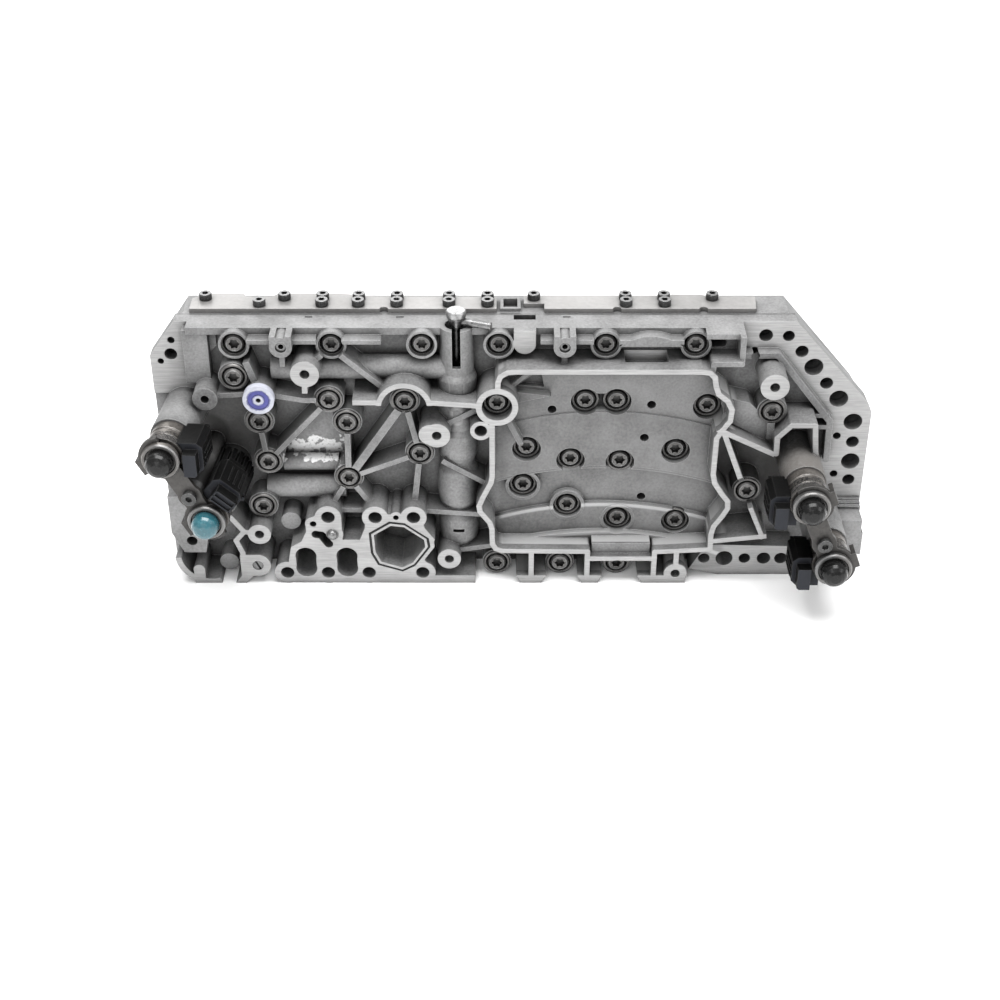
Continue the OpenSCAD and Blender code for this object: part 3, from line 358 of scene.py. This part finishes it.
def trayTint(tree, coords, grain, color):
    normal = axes(tree, coords, "Normal")
    place = axes(tree, coords, "Object")
    inside = times(tree, *(near(tree, place[axis], *traySet[axis.lower()]) for axis in "XZY"))
    color = blend(tree, times(tree, inside, traySet["oil"]), color, traySet["oilTone"])
    # painted light: faces that look up are lightened
    paintedLight = remap(tree, normal["Z"], *traySet["upward"], 0.0, traySet["upwardShare"])
    litLip = traySet["litLip"]
    for step in traySet["steps"]:
        away = awayFrom(tree, place, traySet["stepX"], step["top"] - traySet["stepRadius"])
        # painted highlight on the lip just below each step's edge
        edge = near(tree, away, traySet["stepRadius"] - litLip["below"], litLip["reach"], litLip["soft"])
        paintedLight = calc(tree, "MAXIMUM", paintedLight, times(tree, edge, step["share"]))
    return blend(tree, times(tree, inside, paintedLight), color, traySet["paintedLightTone"])


# one ragged dab of white paint in the field
paintSet = {
    "x": -90.8, "z": 63.2, "width": 25, "height": 5.6, "soft": 0.6, "depth": (11, 6.6, 0.3),
    "streaks": {"scale": 260.0, "detail": 3.0}, "ragged": 16, "tone": grey(0.74),
    "gaps": {"scale": 620.0, "detail": 2.0}, "gapSpan": (0.34, 0.46), "thinnest": 0.45,
}


def paintTint(tree, coords, grain, color):
    place = axes(tree, coords, "Object")
    streaks = noise(tree, coords.outputs["Object"], paintSet["streaks"])
    ragged = times(tree, calc(tree, "SUBTRACT", streaks, 0.5), paintSet["ragged"] * mm)
    along = calc(tree, "ADD", place["X"], ragged)
    across = calc(tree, "ADD", place["Z"], ragged)
    gaps = noise(tree, coords.outputs["Object"], paintSet["gaps"])
    dab = times(tree, near(tree, along, paintSet["x"], paintSet["width"] / 2, paintSet["soft"]),
                near(tree, across, paintSet["z"], paintSet["height"] / 2, paintSet["soft"]),
                near(tree, place["Y"], *paintSet["depth"]),
                remap(tree, gaps, *paintSet["gapSpan"], paintSet["thinnest"], 1.0))
    return blend(tree, dab, color, paintSet["tone"])


# castings: rough skin under the layers above
def castTint(tree, coords, grain, color):
    for layer in (shadeSpotTint, milledTint, snoutTint, trayTint, paintTint):
        color = layer(tree, coords, grain, color)
    return color


castAluminium = finish("castAluminium", {
    "dark": grey(0.12), "light": grey(0.26), "rough": 0.58, "metal": 0.35, "scale": 900.0, "bump": 0.34,
    "edge": 0.8, "edgeTone": grey(0.5), "edgeRadius": 0.55, "pocket": 1.0, "shade": 0.42, "reach": 9,
    "tight": 5.5, "holeShadeSpan": (0.6, 0.17), "tint": castTint})
wear(["front_housing", "rear_housing"], castAluminium)

# steel sheets
wear(["separator_plate"], finish("plateSteel", {
    "dark": grey(0.12), "light": grey(0.24), "rough": 0.45, "metal": 0.8, "edge": 0.4}))
wear(["left_cover_plate", "right_cover_plate"], finish("coverSteel", {
    "dark": grey(0.22, 0.02), "light": grey(0.31, 0.02), "rough": 0.45, "metal": 0.45, "edge": 0.6,
    "edgeTone": grey(0.55), "scale": 400.0, "shade": 0.3}))

# main bolts, phosphated, with edges lightened partly as wear and partly as painted highlight
mainBolts = ["top_row_bolts", "field_bolts", "tray_bolts", "lower_row_bolts"]
boltSteel = finish("boltSteel", {
    "dark": grey(0.055, 0.03), "light": grey(0.15, 0.03), "rough": 0.42, "metal": 0.75, "edge": 0.7,
    "edgeTone": grey(0.42), "edgeRadius": 0.3, "shade": 0.25, "reach": 4, "scale": 1400.0, "tight": 4.2,
    "holeShade": 0.95})
wear(mainBolts, boltSteel)
rubbedSteel = finish("rubbedSteel", {
    "dark": grey(0.12), "light": grey(0.26), "rough": 0.35, "metal": 0.8, "edge": 0.3, "shade": 0.05,
    "reach": 3, "scale": 1400.0})

# small screws with painted light on their tops that face up
screwTopLightSet = {"facing": (0.8, 0.95), "patches": (0.3, 0.6), "thinnest": 0.4, "tone": grey(0.24)}


def screwTopLightTint(tree, coords, grain, color):
    # painted light: tops that face up are lightened in patches
    top = times(tree, remap(tree, axes(tree, coords, "Normal")["Z"], *screwTopLightSet["facing"]),
                remap(tree, grain["Fine"], *screwTopLightSet["patches"], screwTopLightSet["thinnest"], 1.0))
    return blend(tree, top, color, screwTopLightSet["tone"])


screwSteel = finish("screwSteel", {
    "dark": grey(0.03), "light": grey(0.09), "rough": 0.36, "metal": 0.75, "edge": 0.7, "tint": screwTopLightTint,
    "edgeTone": grey(0.45), "edgeRadius": 0.3, "shade": 0.1, "reach": 3, "scale": 1400.0, "tight": 1.6})
wear(["cover_screws", "clamp_screws"], screwSteel)

# pins, plugs, valves and springs
pinSteel = finish("pinSteel", {
    "dark": grey(0.12), "light": grey(0.30), "rough": 0.32, "metal": 0.85, "edge": 0.5,
    "edgeTone": grey(0.8), "edgeRadius": 0.25, "shade": 0.12, "reach": 3})
wear(["slotted_plug", "rail_dowels", "port_dowel", "selector_pin"], pinSteel)
spoolNumbers = range(1, 6)
wear(["spool_plugs"] + ["spool_%d" % i for i in spoolNumbers], finish("groundSteel", {
    "dark": grey(0.32), "light": grey(0.5), "rough": 0.28, "metal": 0.9, "edge": 0.4,
    "edgeTone": grey(0.7), "shade": 0.03, "reach": 8, "pocket": 2.0}))
wear(["manual_valve"], finish("scuffedSteel", {
    "dark": grey(0.10), "light": grey(0.44), "rough": 0.3, "metal": 0.9, "edge": 0.5, "scale": 420.0,
    "edgeTone": grey(0.75), "edgeRadius": 0.3, "shade": 0.03, "reach": 8, "pocket": 2.0}))
springSteel = finish("springSteel", {
    "dark": grey(0.2), "light": grey(0.34), "rough": 0.35, "metal": 0.9, "scale": 1600.0})
wear(["spring_%d" % i for i in spoolNumbers], springSteel)

# solenoid cans: brown-grey plating, a smutty band and a paler end
canSet = {
    "band": (-24.0, 3.4, 0.4), "smut": (0.42, 0.56), "smutTone": grey(0.03),
    "end": (-31.0, -31.6), "patches": (0.35, 0.6), "thinnest": 0.3, "endTone": grey(0.17),
}


def canTint(tree, coords, grain, color):
    place = axes(tree, coords, "Object")
    smut = times(tree, near(tree, place["Y"], *canSet["band"]), remap(tree, grain["Fine"], *canSet["smut"]))
    color = blend(tree, smut, color, canSet["smutTone"])
    end = times(tree, remap(tree, place["Y"], *(v * mm for v in canSet["end"])),
                remap(tree, grain["Slow"], *canSet["patches"], canSet["thinnest"], 1.0))
    return blend(tree, end, color, canSet["endTone"])


canSteel = finish("canSteel", {
    "dark": grey(0.07, 0.10), "light": grey(0.20, 0.08), "rough": 0.36, "metal": 0.75, "edge": 0.6,
    "edgeTone": grey(0.5), "shade": 0.1, "reach": 6, "scale": 1100.0, "tint": canTint})
solenoidNames = ["left_upper", "left_lower", "right_upper", "right_lower"]
wear([name + "_solenoid" for name in solenoidNames], canSteel)

# moulded connectors, with the front face lightened by dust and by painted sheen
dustAndSheenSet = {"facing": (-0.6, -0.95), "share": 0.8, "tone": (0.026, 0.028, 0.034, 1)}


def dustAndSheenTint(tree, coords, grain, color):
    # dust and painted sheen on faces that look to the front
    front = remap(tree, axes(tree, coords, "Normal")["Y"], *dustAndSheenSet["facing"])
    return blend(tree, times(tree, front, dustAndSheenSet["share"]), color, dustAndSheenSet["tone"])


mouldedBlack = finish("mouldedBlack", {
    "dark": grey(0.0015), "light": grey(0.004), "rough": 0.48, "edge": 0.6, "edgeTone": grey(0.09),
    "gloss": 0.12, "edgeRadius": 0.5, "shade": 0.2, "tint": dustAndSheenTint})
wear([name + "_connector" for name in solenoidNames], mouldedBlack)

# caps, clamps and seals
glossLook = {"rough": 0.24, "edge": 0.3, "edgeTone": grey(0.2), "coat": 0.3, "shade": 0.3, "scale": 500.0}
wear(["left_upper_cap", "right_upper_cap", "right_lower_cap"], finish("glossBlack", {
    **glossLook, "dark": grey(0.003), "light": grey(0.008), "gloss": 0.2, "coat": 0.12}))
wear(["left_lower_cap"], finish("tealPlastic", {
    **glossLook, "dark": (0.014, 0.068, 0.088, 1), "light": (0.028, 0.12, 0.145, 1),
    "edgeTone": (0.2, 0.35, 0.4, 1)}))
wear(["left_clamp", "right_clamp"], finish("clampSteel", {
    "dark": grey(0.03, 0.05), "light": grey(0.075, 0.05), "rough": 0.45, "metal": 0.6, "edge": 0.6,
    "edgeTone": grey(0.35), "edgeRadius": 0.35, "scale": 500.0}))
wear(["solenoid_seals", "port_seal"], finish("sealRubber", {
    "dark": grey(0.006), "light": grey(0.016), "rough": 0.6, "gloss": 0.3}))

# white bush, smeared with blue round its ring
bushLow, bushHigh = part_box("restrictor_bush")
bushSet = {
    "x": (bushLow[0] + bushHigh[0]) / 2 / mm, "z": (bushLow[2] + bushHigh[2]) / 2 / mm,
    "inner": 2.4, "outer": 5.0, "soft": 0.3, "ragged": 2, "groove": 1.1, "grooveSpan": (-0.4, 0.8),
    "share": 0.85, "dark": (0.02, 0.022, 0.13, 1), "light": (0.08, 0.085, 0.28, 1),
}


def bushTint(tree, coords, grain, color):
    place = axes(tree, coords, "Object")
    ragged = times(tree, calc(tree, "SUBTRACT", grain["Fine"], 0.5), bushSet["ragged"] * mm)
    away = calc(tree, "ADD", awayFrom(tree, place, bushSet["x"], bushSet["z"]), ragged)
    middle = (bushSet["inner"] + bushSet["outer"]) / 2
    smear = near(tree, away, middle, bushSet["outer"] - middle, bushSet["soft"])
    turned = calc(tree, "SINE", times(tree, away, 2 * math.pi / (bushSet["groove"] * mm)))
    ink = blend(tree, remap(tree, turned, *bushSet["grooveSpan"]), bushSet["dark"], bushSet["light"])
    return blend(tree, times(tree, smear, bushSet["share"]), color, ink)


wear(["restrictor_bush"], finish("whitePlastic", {
    "dark": (0.34, 0.35, 0.40, 1), "light": (0.47, 0.48, 0.54, 1), "rough": 0.5, "shade": 0.35, "reach": 4,
    "tint": bushTint}))
wear(["restrictor_seal"], finish("bluePlastic", {
    "dark": (0.035, 0.038, 0.19, 1), "light": (0.07, 0.072, 0.30, 1), "rough": 0.4, "shade": 0.5,
    "reach": 3}))
print("materials ready")


# repeated small detail, each kind from one geometry node group
def newTree(name, inputs):
    shape = [("Geometry", "Geometry")]
    return newGroup(name, "GeometryNodeTree", shape + inputs + [("Material", "Material")], shape)


def closeTree(tree, shape, material, target):
    real = addNode(tree, "GeometryNodeRealizeInstances", {"Geometry": shape})
    painted = addNode(tree, "GeometryNodeSetMaterial", {"Geometry": real.outputs[0], "Material": material})
    tree.links.new(painted.outputs[0], target["Geometry"])


def bake(name, tree, points, values):
    # runs the group on a mesh of bare points and gives back a plain mesh
    start = bpy.data.meshes.new(name + "Points")
    start.from_pydata([tuple(p) for p in points], [], [])
    holder = bpy.data.objects.new(name + "Holder", start)
    scene.collection.objects.link(holder)
    modifier = holder.modifiers.new(name, "NODES")
    modifier.node_group = tree
    for item in tree.interface.items_tree:
        if item.in_out == "INPUT" and item.name in values:
            modifier[item.identifier] = values[item.name]
    depsgraph = bpy.context.evaluated_depsgraph_get()
    mesh = bpy.data.meshes.new_from_object(holder.evaluated_get(depsgraph))
    holder.modifiers.remove(modifier)
    bpy.data.objects.remove(holder)
    bpy.data.meshes.remove(start)
    return mesh


def joinCopies(name, mesh, frames):
    # one object from a copy of the mesh at each frame
    corners, faces = [], []
    for frameMatrix in frames:
        base = len(corners)
        corners += [tuple(frameMatrix @ v.co) for v in mesh.vertices]
        faces += [[base + i for i in poly.vertices] for poly in mesh.polygons]
    joined = bpy.data.meshes.new(name)
    joined.from_pydata(corners, [], faces)
    joined.materials.append(mesh.materials[-1])
    joined.update()
    bpy.data.meshes.remove(mesh)
    obj = bpy.data.objects.new(name, joined)
    scene.collection.objects.link(obj)
    return obj


asMade = [Matrix.Identity(4)]


def piece(name, mesh, body, frames=asMade):
    obj = joinCopies(name, mesh, frames)
    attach(obj, body)


def shift(x, y, z):
    return Matrix.Translation(Vector((x, y, z)) * mm)


def turn(degrees, axis):
    return Matrix.Rotation(math.radians(degrees), 4, axis)


def solids(node):
    # boxes of the separate solids in one node
    mesh = nodes[node].data
    parent = list(range(len(mesh.vertices)))

    def root(i):
        while parent[i] != i:
            parent[i] = parent[parent[i]]
            i = parent[i]
        return i

    where = {}
    for vertex in mesh.vertices:
        key = tuple(round(c, 6) for c in vertex.co)
        parent[vertex.index] = where.setdefault(key, vertex.index)
    for edge in mesh.edges:
        parent[root(edge.vertices[0])] = root(edge.vertices[1])
    groups = {}
    for vertex in mesh.vertices:
        groups.setdefault(root(vertex.index), []).append(vertex.co)
    boxes = []
    for points in groups.values():
        low = Vector([min(p[k] for p in points) for k in range(3)])
        high = Vector([max(p[k] for p in points) for k in range(3)])
        boxes.append((low, high))
    return sorted(boxes, key=lambda box: tuple(box[0]))


# corners round a ring and its wire, and along a turn of a coil and round its wire
roundSet = {"ring": 32, "ringWire": 6, "coil": 36, "coilWire": 10}

# ring of ribs round the z axis
ribTree, source, target = newTree("ribRing", [("Count", "Int"), ("Radius", "Float"), ("Size", "Vector")])
circle = addNode(ribTree, "GeometryNodeMeshCircle",
                 {"Vertices": source["Count"], "Radius": source["Radius"]})
position = addNode(ribTree, "GeometryNodeInputPosition")
outward = addNode(ribTree, "FunctionNodeAlignRotationToVector", {"Vector": position.outputs[0]}, axis="X")
rib = addNode(ribTree, "GeometryNodeMeshCube", {"Size": source["Size"]})
ribs = addNode(ribTree, "GeometryNodeInstanceOnPoints", {
    "Points": circle.outputs[0], "Instance": rib.outputs[0], "Rotation": outward.outputs[0]})
closeTree(ribTree, ribs.outputs[0], source["Material"], target)

# one ring on every given point, turned to its face
ringTree, source, target = newTree("pointRings", [
    ("Radius", "Float"), ("Wire", "Float"), ("Turn", "Rotation")])
loop = addNode(ringTree, "GeometryNodeCurvePrimitiveCircle",
               {"Resolution": roundSet["ring"], "Radius": source["Radius"]})
wire = addNode(ringTree, "GeometryNodeCurvePrimitiveCircle",
               {"Resolution": roundSet["ringWire"], "Radius": source["Wire"]})
tube = addNode(ringTree, "GeometryNodeCurveToMesh",
               {"Curve": loop.outputs[0], "Profile Curve": wire.outputs[0]})
rings = addNode(ringTree, "GeometryNodeInstanceOnPoints", {
    "Points": source["Geometry"], "Instance": tube.outputs[0], "Rotation": source["Turn"]})
closeTree(ringTree, rings.outputs[0], source["Material"], target)

# a box on every given point
barTree, source, target = newTree("pointBars", [("Size", "Vector")])
block = addNode(barTree, "GeometryNodeMeshCube", {"Size": source["Size"]})
bars = addNode(barTree, "GeometryNodeInstanceOnPoints",
               {"Points": source["Geometry"], "Instance": block.outputs[0]})
closeTree(barTree, bars.outputs[0], source["Material"], target)

# round wire wound into a coil
coilTree, source, target = newTree("coilSpring", [
    ("Turns", "Float"), ("Radius", "Float"), ("Height", "Float"), ("Wire", "Float")])
spiral = addNode(coilTree, "GeometryNodeCurveSpiral", {
    "Resolution": roundSet["coil"], "Rotations": source["Turns"], "Start Radius": source["Radius"],
    "End Radius": source["Radius"], "Height": source["Height"]})
section = addNode(coilTree, "GeometryNodeCurvePrimitiveCircle",
                  {"Resolution": roundSet["coilWire"], "Radius": source["Wire"]})
coil = addNode(coilTree, "GeometryNodeCurveToMesh", {
    "Curve": spiral.outputs[0], "Profile Curve": section.outputs[0], "Fill Caps": True})
closeTree(coilTree, coil.outputs[0], source["Material"], target)
print("geometry groups ready")

faceFront = (math.radians(90), 0, 0)
faceRight = (0, math.radians(90), 0)


def ringMesh(name, points, radius, wireRadius, facing, material):
    return bake(name, ringTree, points, {
        "Radius": radius * mm, "Wire": wireRadius * mm, "Turn": facing, "Material": material})


def barMesh(name, points, size, material):
    places = [[c * mm for c in point] for point in points]
    return bake(name, barTree, places, {"Size": Vector(size) * mm, "Material": material})


def ribMesh(name, look, material):
    return bake(name, ribTree, [(0, 0, 0)], {
        "Count": look["count"], "Radius": look["radius"] * mm, "Size": Vector(look["rib"]) * mm,
        "Material": material})


# pressed rings round the sockets of the main bolts, and flanges under their heads
boltRingSet = {
    "radius": 3.35, "wire": 0.28, "sink": 0.1, "flangeClear": 0.3, "flangeWire": 0.75, "flangeSink": 1.3,
}
boltFaces, flangePlaces = [], []
for node in mainBolts:
    for low, high in solids(node):
        middle = (low + high) / 2
        boltFaces.append((middle.x, low.y + boltRingSet["sink"] * mm, middle.z))
        flangePlaces.append((middle.x, low.y + boltRingSet["flangeSink"] * mm, middle.z))
headRadius = (high.x - low.x) / 2 / mm  # the heads are all alike
boltRings = ringMesh("boltRings", boltFaces, boltRingSet["radius"],
                     boltRingSet["wire"], faceFront, rubbedSteel)
piece("boltSocketRings", boltRings, "housing")
flangeRings = ringMesh("flangeRings", flangePlaces, headRadius + boltRingSet["flangeClear"],
                       boltRingSet["flangeWire"], faceFront, boltSteel)
piece("boltFlanges", flangeRings, "housing")

# knurled sides of the cover screws
screwSet = {"count": 28, "rib": (0.22, 0.28, 2.3), "radius": 2.68, "down": 1.5}
screwFrames = []
for low, high in solids("cover_screws"):
    middle = (low + high) / 2
    screwFrames.append(Matrix.Translation((middle.x, middle.y, high.z - screwSet["down"] * mm)))
screwRibs = ribMesh("screwRibs", screwSet, screwSteel)
piece("coverScrewKnurls", screwRibs, "housing", screwFrames)

# where the solenoids point: two leaning pairs, upper one first
solenoidSet = {
    "pairs": ({"at": (-140, -1, 70.5), "lean": -29, "tilt": -5},
              {"at": (134.8, -2, 46.4), "lean": -21.5, "tilt": 0}),
    "pitch": 35,
}
solenoidFrames, leans = [], []
for pair in solenoidSet["pairs"]:
    pairFrame = shift(*pair["at"]) @ turn(pair["tilt"], "Z") @ turn(pair["lean"], "Y")
    for side in (1, -1):
        solenoidFrames.append(pairFrame @ shift(0, 0, side * solenoidSet["pitch"] / 2))
        leans.append(pair["lean"])

# knurled band behind the clamp on each can
bandSet = {"count": 84, "rib": (0.34, 0.34, 2.6), "radius": 8.78, "reach": 25.6}
bandFrames = [at @ shift(0, -bandSet["reach"], 0) @ turn(90, "X") for at in solenoidFrames]
canRibs = ribMesh("canRibs", bandSet, canSteel)
piece("solenoidKnurls", canRibs, "housing", bandFrames)

# connectors: an open socket on the lower left one, and key ribs beside all
socketSet = {
    "connectors": ({"turn": 0, "shift": 0, "lift": 3.5, "side": -1},
                   {"turn": -50, "shift": 2, "lift": 6.5, "side": -1},
                   {"turn": 180, "shift": 0, "lift": 0, "side": 1},
                   {"turn": 180, "shift": 0, "lift": 0, "side": 1}),
    "out": 12.5, "front": -31.6, "up": 5.4, "open": 1, "pitch": 2.75, "floorAt": 5.0,
    "wall": (0.7, 1.4, 10.6), "floor": (6.2, 1.4, 0.7), "key": (0.9, 11, 1.0), "keyShift": (4.85, 13.1, 0),
}
socketFrames = []
for at, lean, plug in zip(solenoidFrames, leans, socketSet["connectors"]):
    along = plug["shift"] + socketSet["out"]
    up = plug["lift"] + plug["side"] * socketSet["up"]
    socketFrames.append(at @ turn(plug["turn"] - lean, "Y") @ shift(along, socketSet["front"], up))
openFrames = [socketFrames[socketSet["open"]]]
pitch = socketSet["pitch"]
walls = barMesh("socketWalls", [(x, 0, 0) for x in (-pitch, 0, pitch)], socketSet["wall"], mouldedBlack)
piece("connectorWalls", walls, "housing", openFrames)
floorZ = socketSet["floorAt"]
floors = barMesh("socketFloors", [(0, 0, z) for z in (-floorZ, floorZ)], socketSet["floor"], mouldedBlack)
piece("connectorRims", floors, "housing", openFrames)
keys = barMesh("keyRibs", [(0, 0, z) for z in (-pitch, 0, pitch)], socketSet["key"], mouldedBlack)
keyFrames = [at @ shift(*socketSet["keyShift"]) for at in socketFrames]
piece("connectorKeys", keys, "housing", keyFrames)

# comb of fingers that runs back along the lower left snout from its connector
combSet = {
    "solenoid": 1, "first": 42, "pitch": -16, "count": 8,
    "radius": 10.3, "middle": 2.5, "finger": (2.8, 21, 2.1),
}
combFrame = solenoidFrames[combSet["solenoid"]]
combFrames = []
for index in range(combSet["count"]):
    around = turn(combSet["first"] + index * combSet["pitch"], "Y")
    combFrames.append(combFrame @ around @ shift(combSet["radius"], combSet["middle"], 0))
finger = barMesh("combFinger", [(0, 0, 0)], combSet["finger"], mouldedBlack)
piece("connectorComb", finger, "housing", combFrames)

# threads in the tapped bosses
threadSet = {
    "holes": [(-91, 111.5), (-34.5, 80.5), (-30, 13.7), (75.2, 5.4), (113, 105), (-117, 27.5)],
    "pitch": 0.8, "turns": 14, "radius": 2.12, "wire": 0.2, "start": -1.2,
}
threadPoints = []
for x, z in threadSet["holes"]:
    for count in range(threadSet["turns"]):
        threadPoints.append((x * mm, (threadSet["start"] + count * threadSet["pitch"]) * mm, z * mm))
threads = ringMesh("threads", threadPoints, threadSet["radius"], threadSet["wire"], faceFront, rubbedSteel)
piece("bossThreads", threads, "housing")

# stairs between the right flange and the block below it
stairSet = {"x": 154, "steps": ((15.2, 34.9), (13.6, 33.7), (12.0, 32.5)), "size": (13, 1.7, 3.6)}
stairPoints = [(stairSet["x"], y, z) for y, z in stairSet["steps"]]
stairs = barMesh("stairs", stairPoints, stairSet["size"], castAluminium)
piece("flangeStairs", stairs, "housing")

# rings pressed into the cross pin of the manual valve
pinSet = {
    "at": (-25.5, 13, 129.95), "turn": -20, "first": 8.5, "pitch": 0.9, "count": 9,
    "radius": 1.62, "wire": 0.16,
}
pinPoints = [((pinSet["first"] + i * pinSet["pitch"]) * mm, 0, 0) for i in range(pinSet["count"])]
pinRings = ringMesh("pinRings", pinPoints, pinSet["radius"], pinSet["wire"], faceRight, pinSteel)
alongPin = shift(*pinSet["at"]) @ turn(pinSet["turn"], "Z")
piece("pinRings", pinRings, "manual_valve", [alongPin])

# spool springs, pressed together between the casting and their spool
springSet = {"turns": 6.0, "wire": 0.55}
wireRadius = springSet["wire"] * mm
for number in spoolNumbers:
    low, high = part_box("spring_%d" % number)
    foot = Vector(((low.x + high.x) / 2, (low.y + high.y) / 2, low.z + wireRadius))
    tall = high.z - low.z - 2 * wireRadius
    coilMesh = bake("coil%d" % number, coilTree, [(0, 0, 0)], {
        "Turns": springSet["turns"], "Radius": (high.x - low.x) / 2 - wireRadius, "Height": tall,
        "Wire": wireRadius, "Material": springSteel})
    spring = joinCopies("spoolSpring%d" % number, coilMesh, [Matrix.Translation(foot)])
    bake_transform(spring)
    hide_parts("spring_%d" % number)
print("repeated detail ready")


# plain pale floor, with its reach in metres
floorSet = {"reach": 6, "tone": grey(0.92), "rough": 0.9}
floorMat, floorShader = newMaterial("paleFloor")
floorShader.inputs["Base Color"].default_value = floorSet["tone"]
floorShader.inputs["Roughness"].default_value = floorSet["rough"]
reach = floorSet["reach"]
floorMesh = bpy.data.meshes.new("floor")
floorMesh.from_pydata([(-reach, -reach, 0), (reach, -reach, 0), (reach, reach, 0), (-reach, reach, 0)],
                      [], [(0, 1, 2, 3)])
floorMesh.materials.append(floorMat)
floor = bpy.data.objects.new("floor", floorMesh)
scene.collection.objects.link(floor)
print("studio ready")
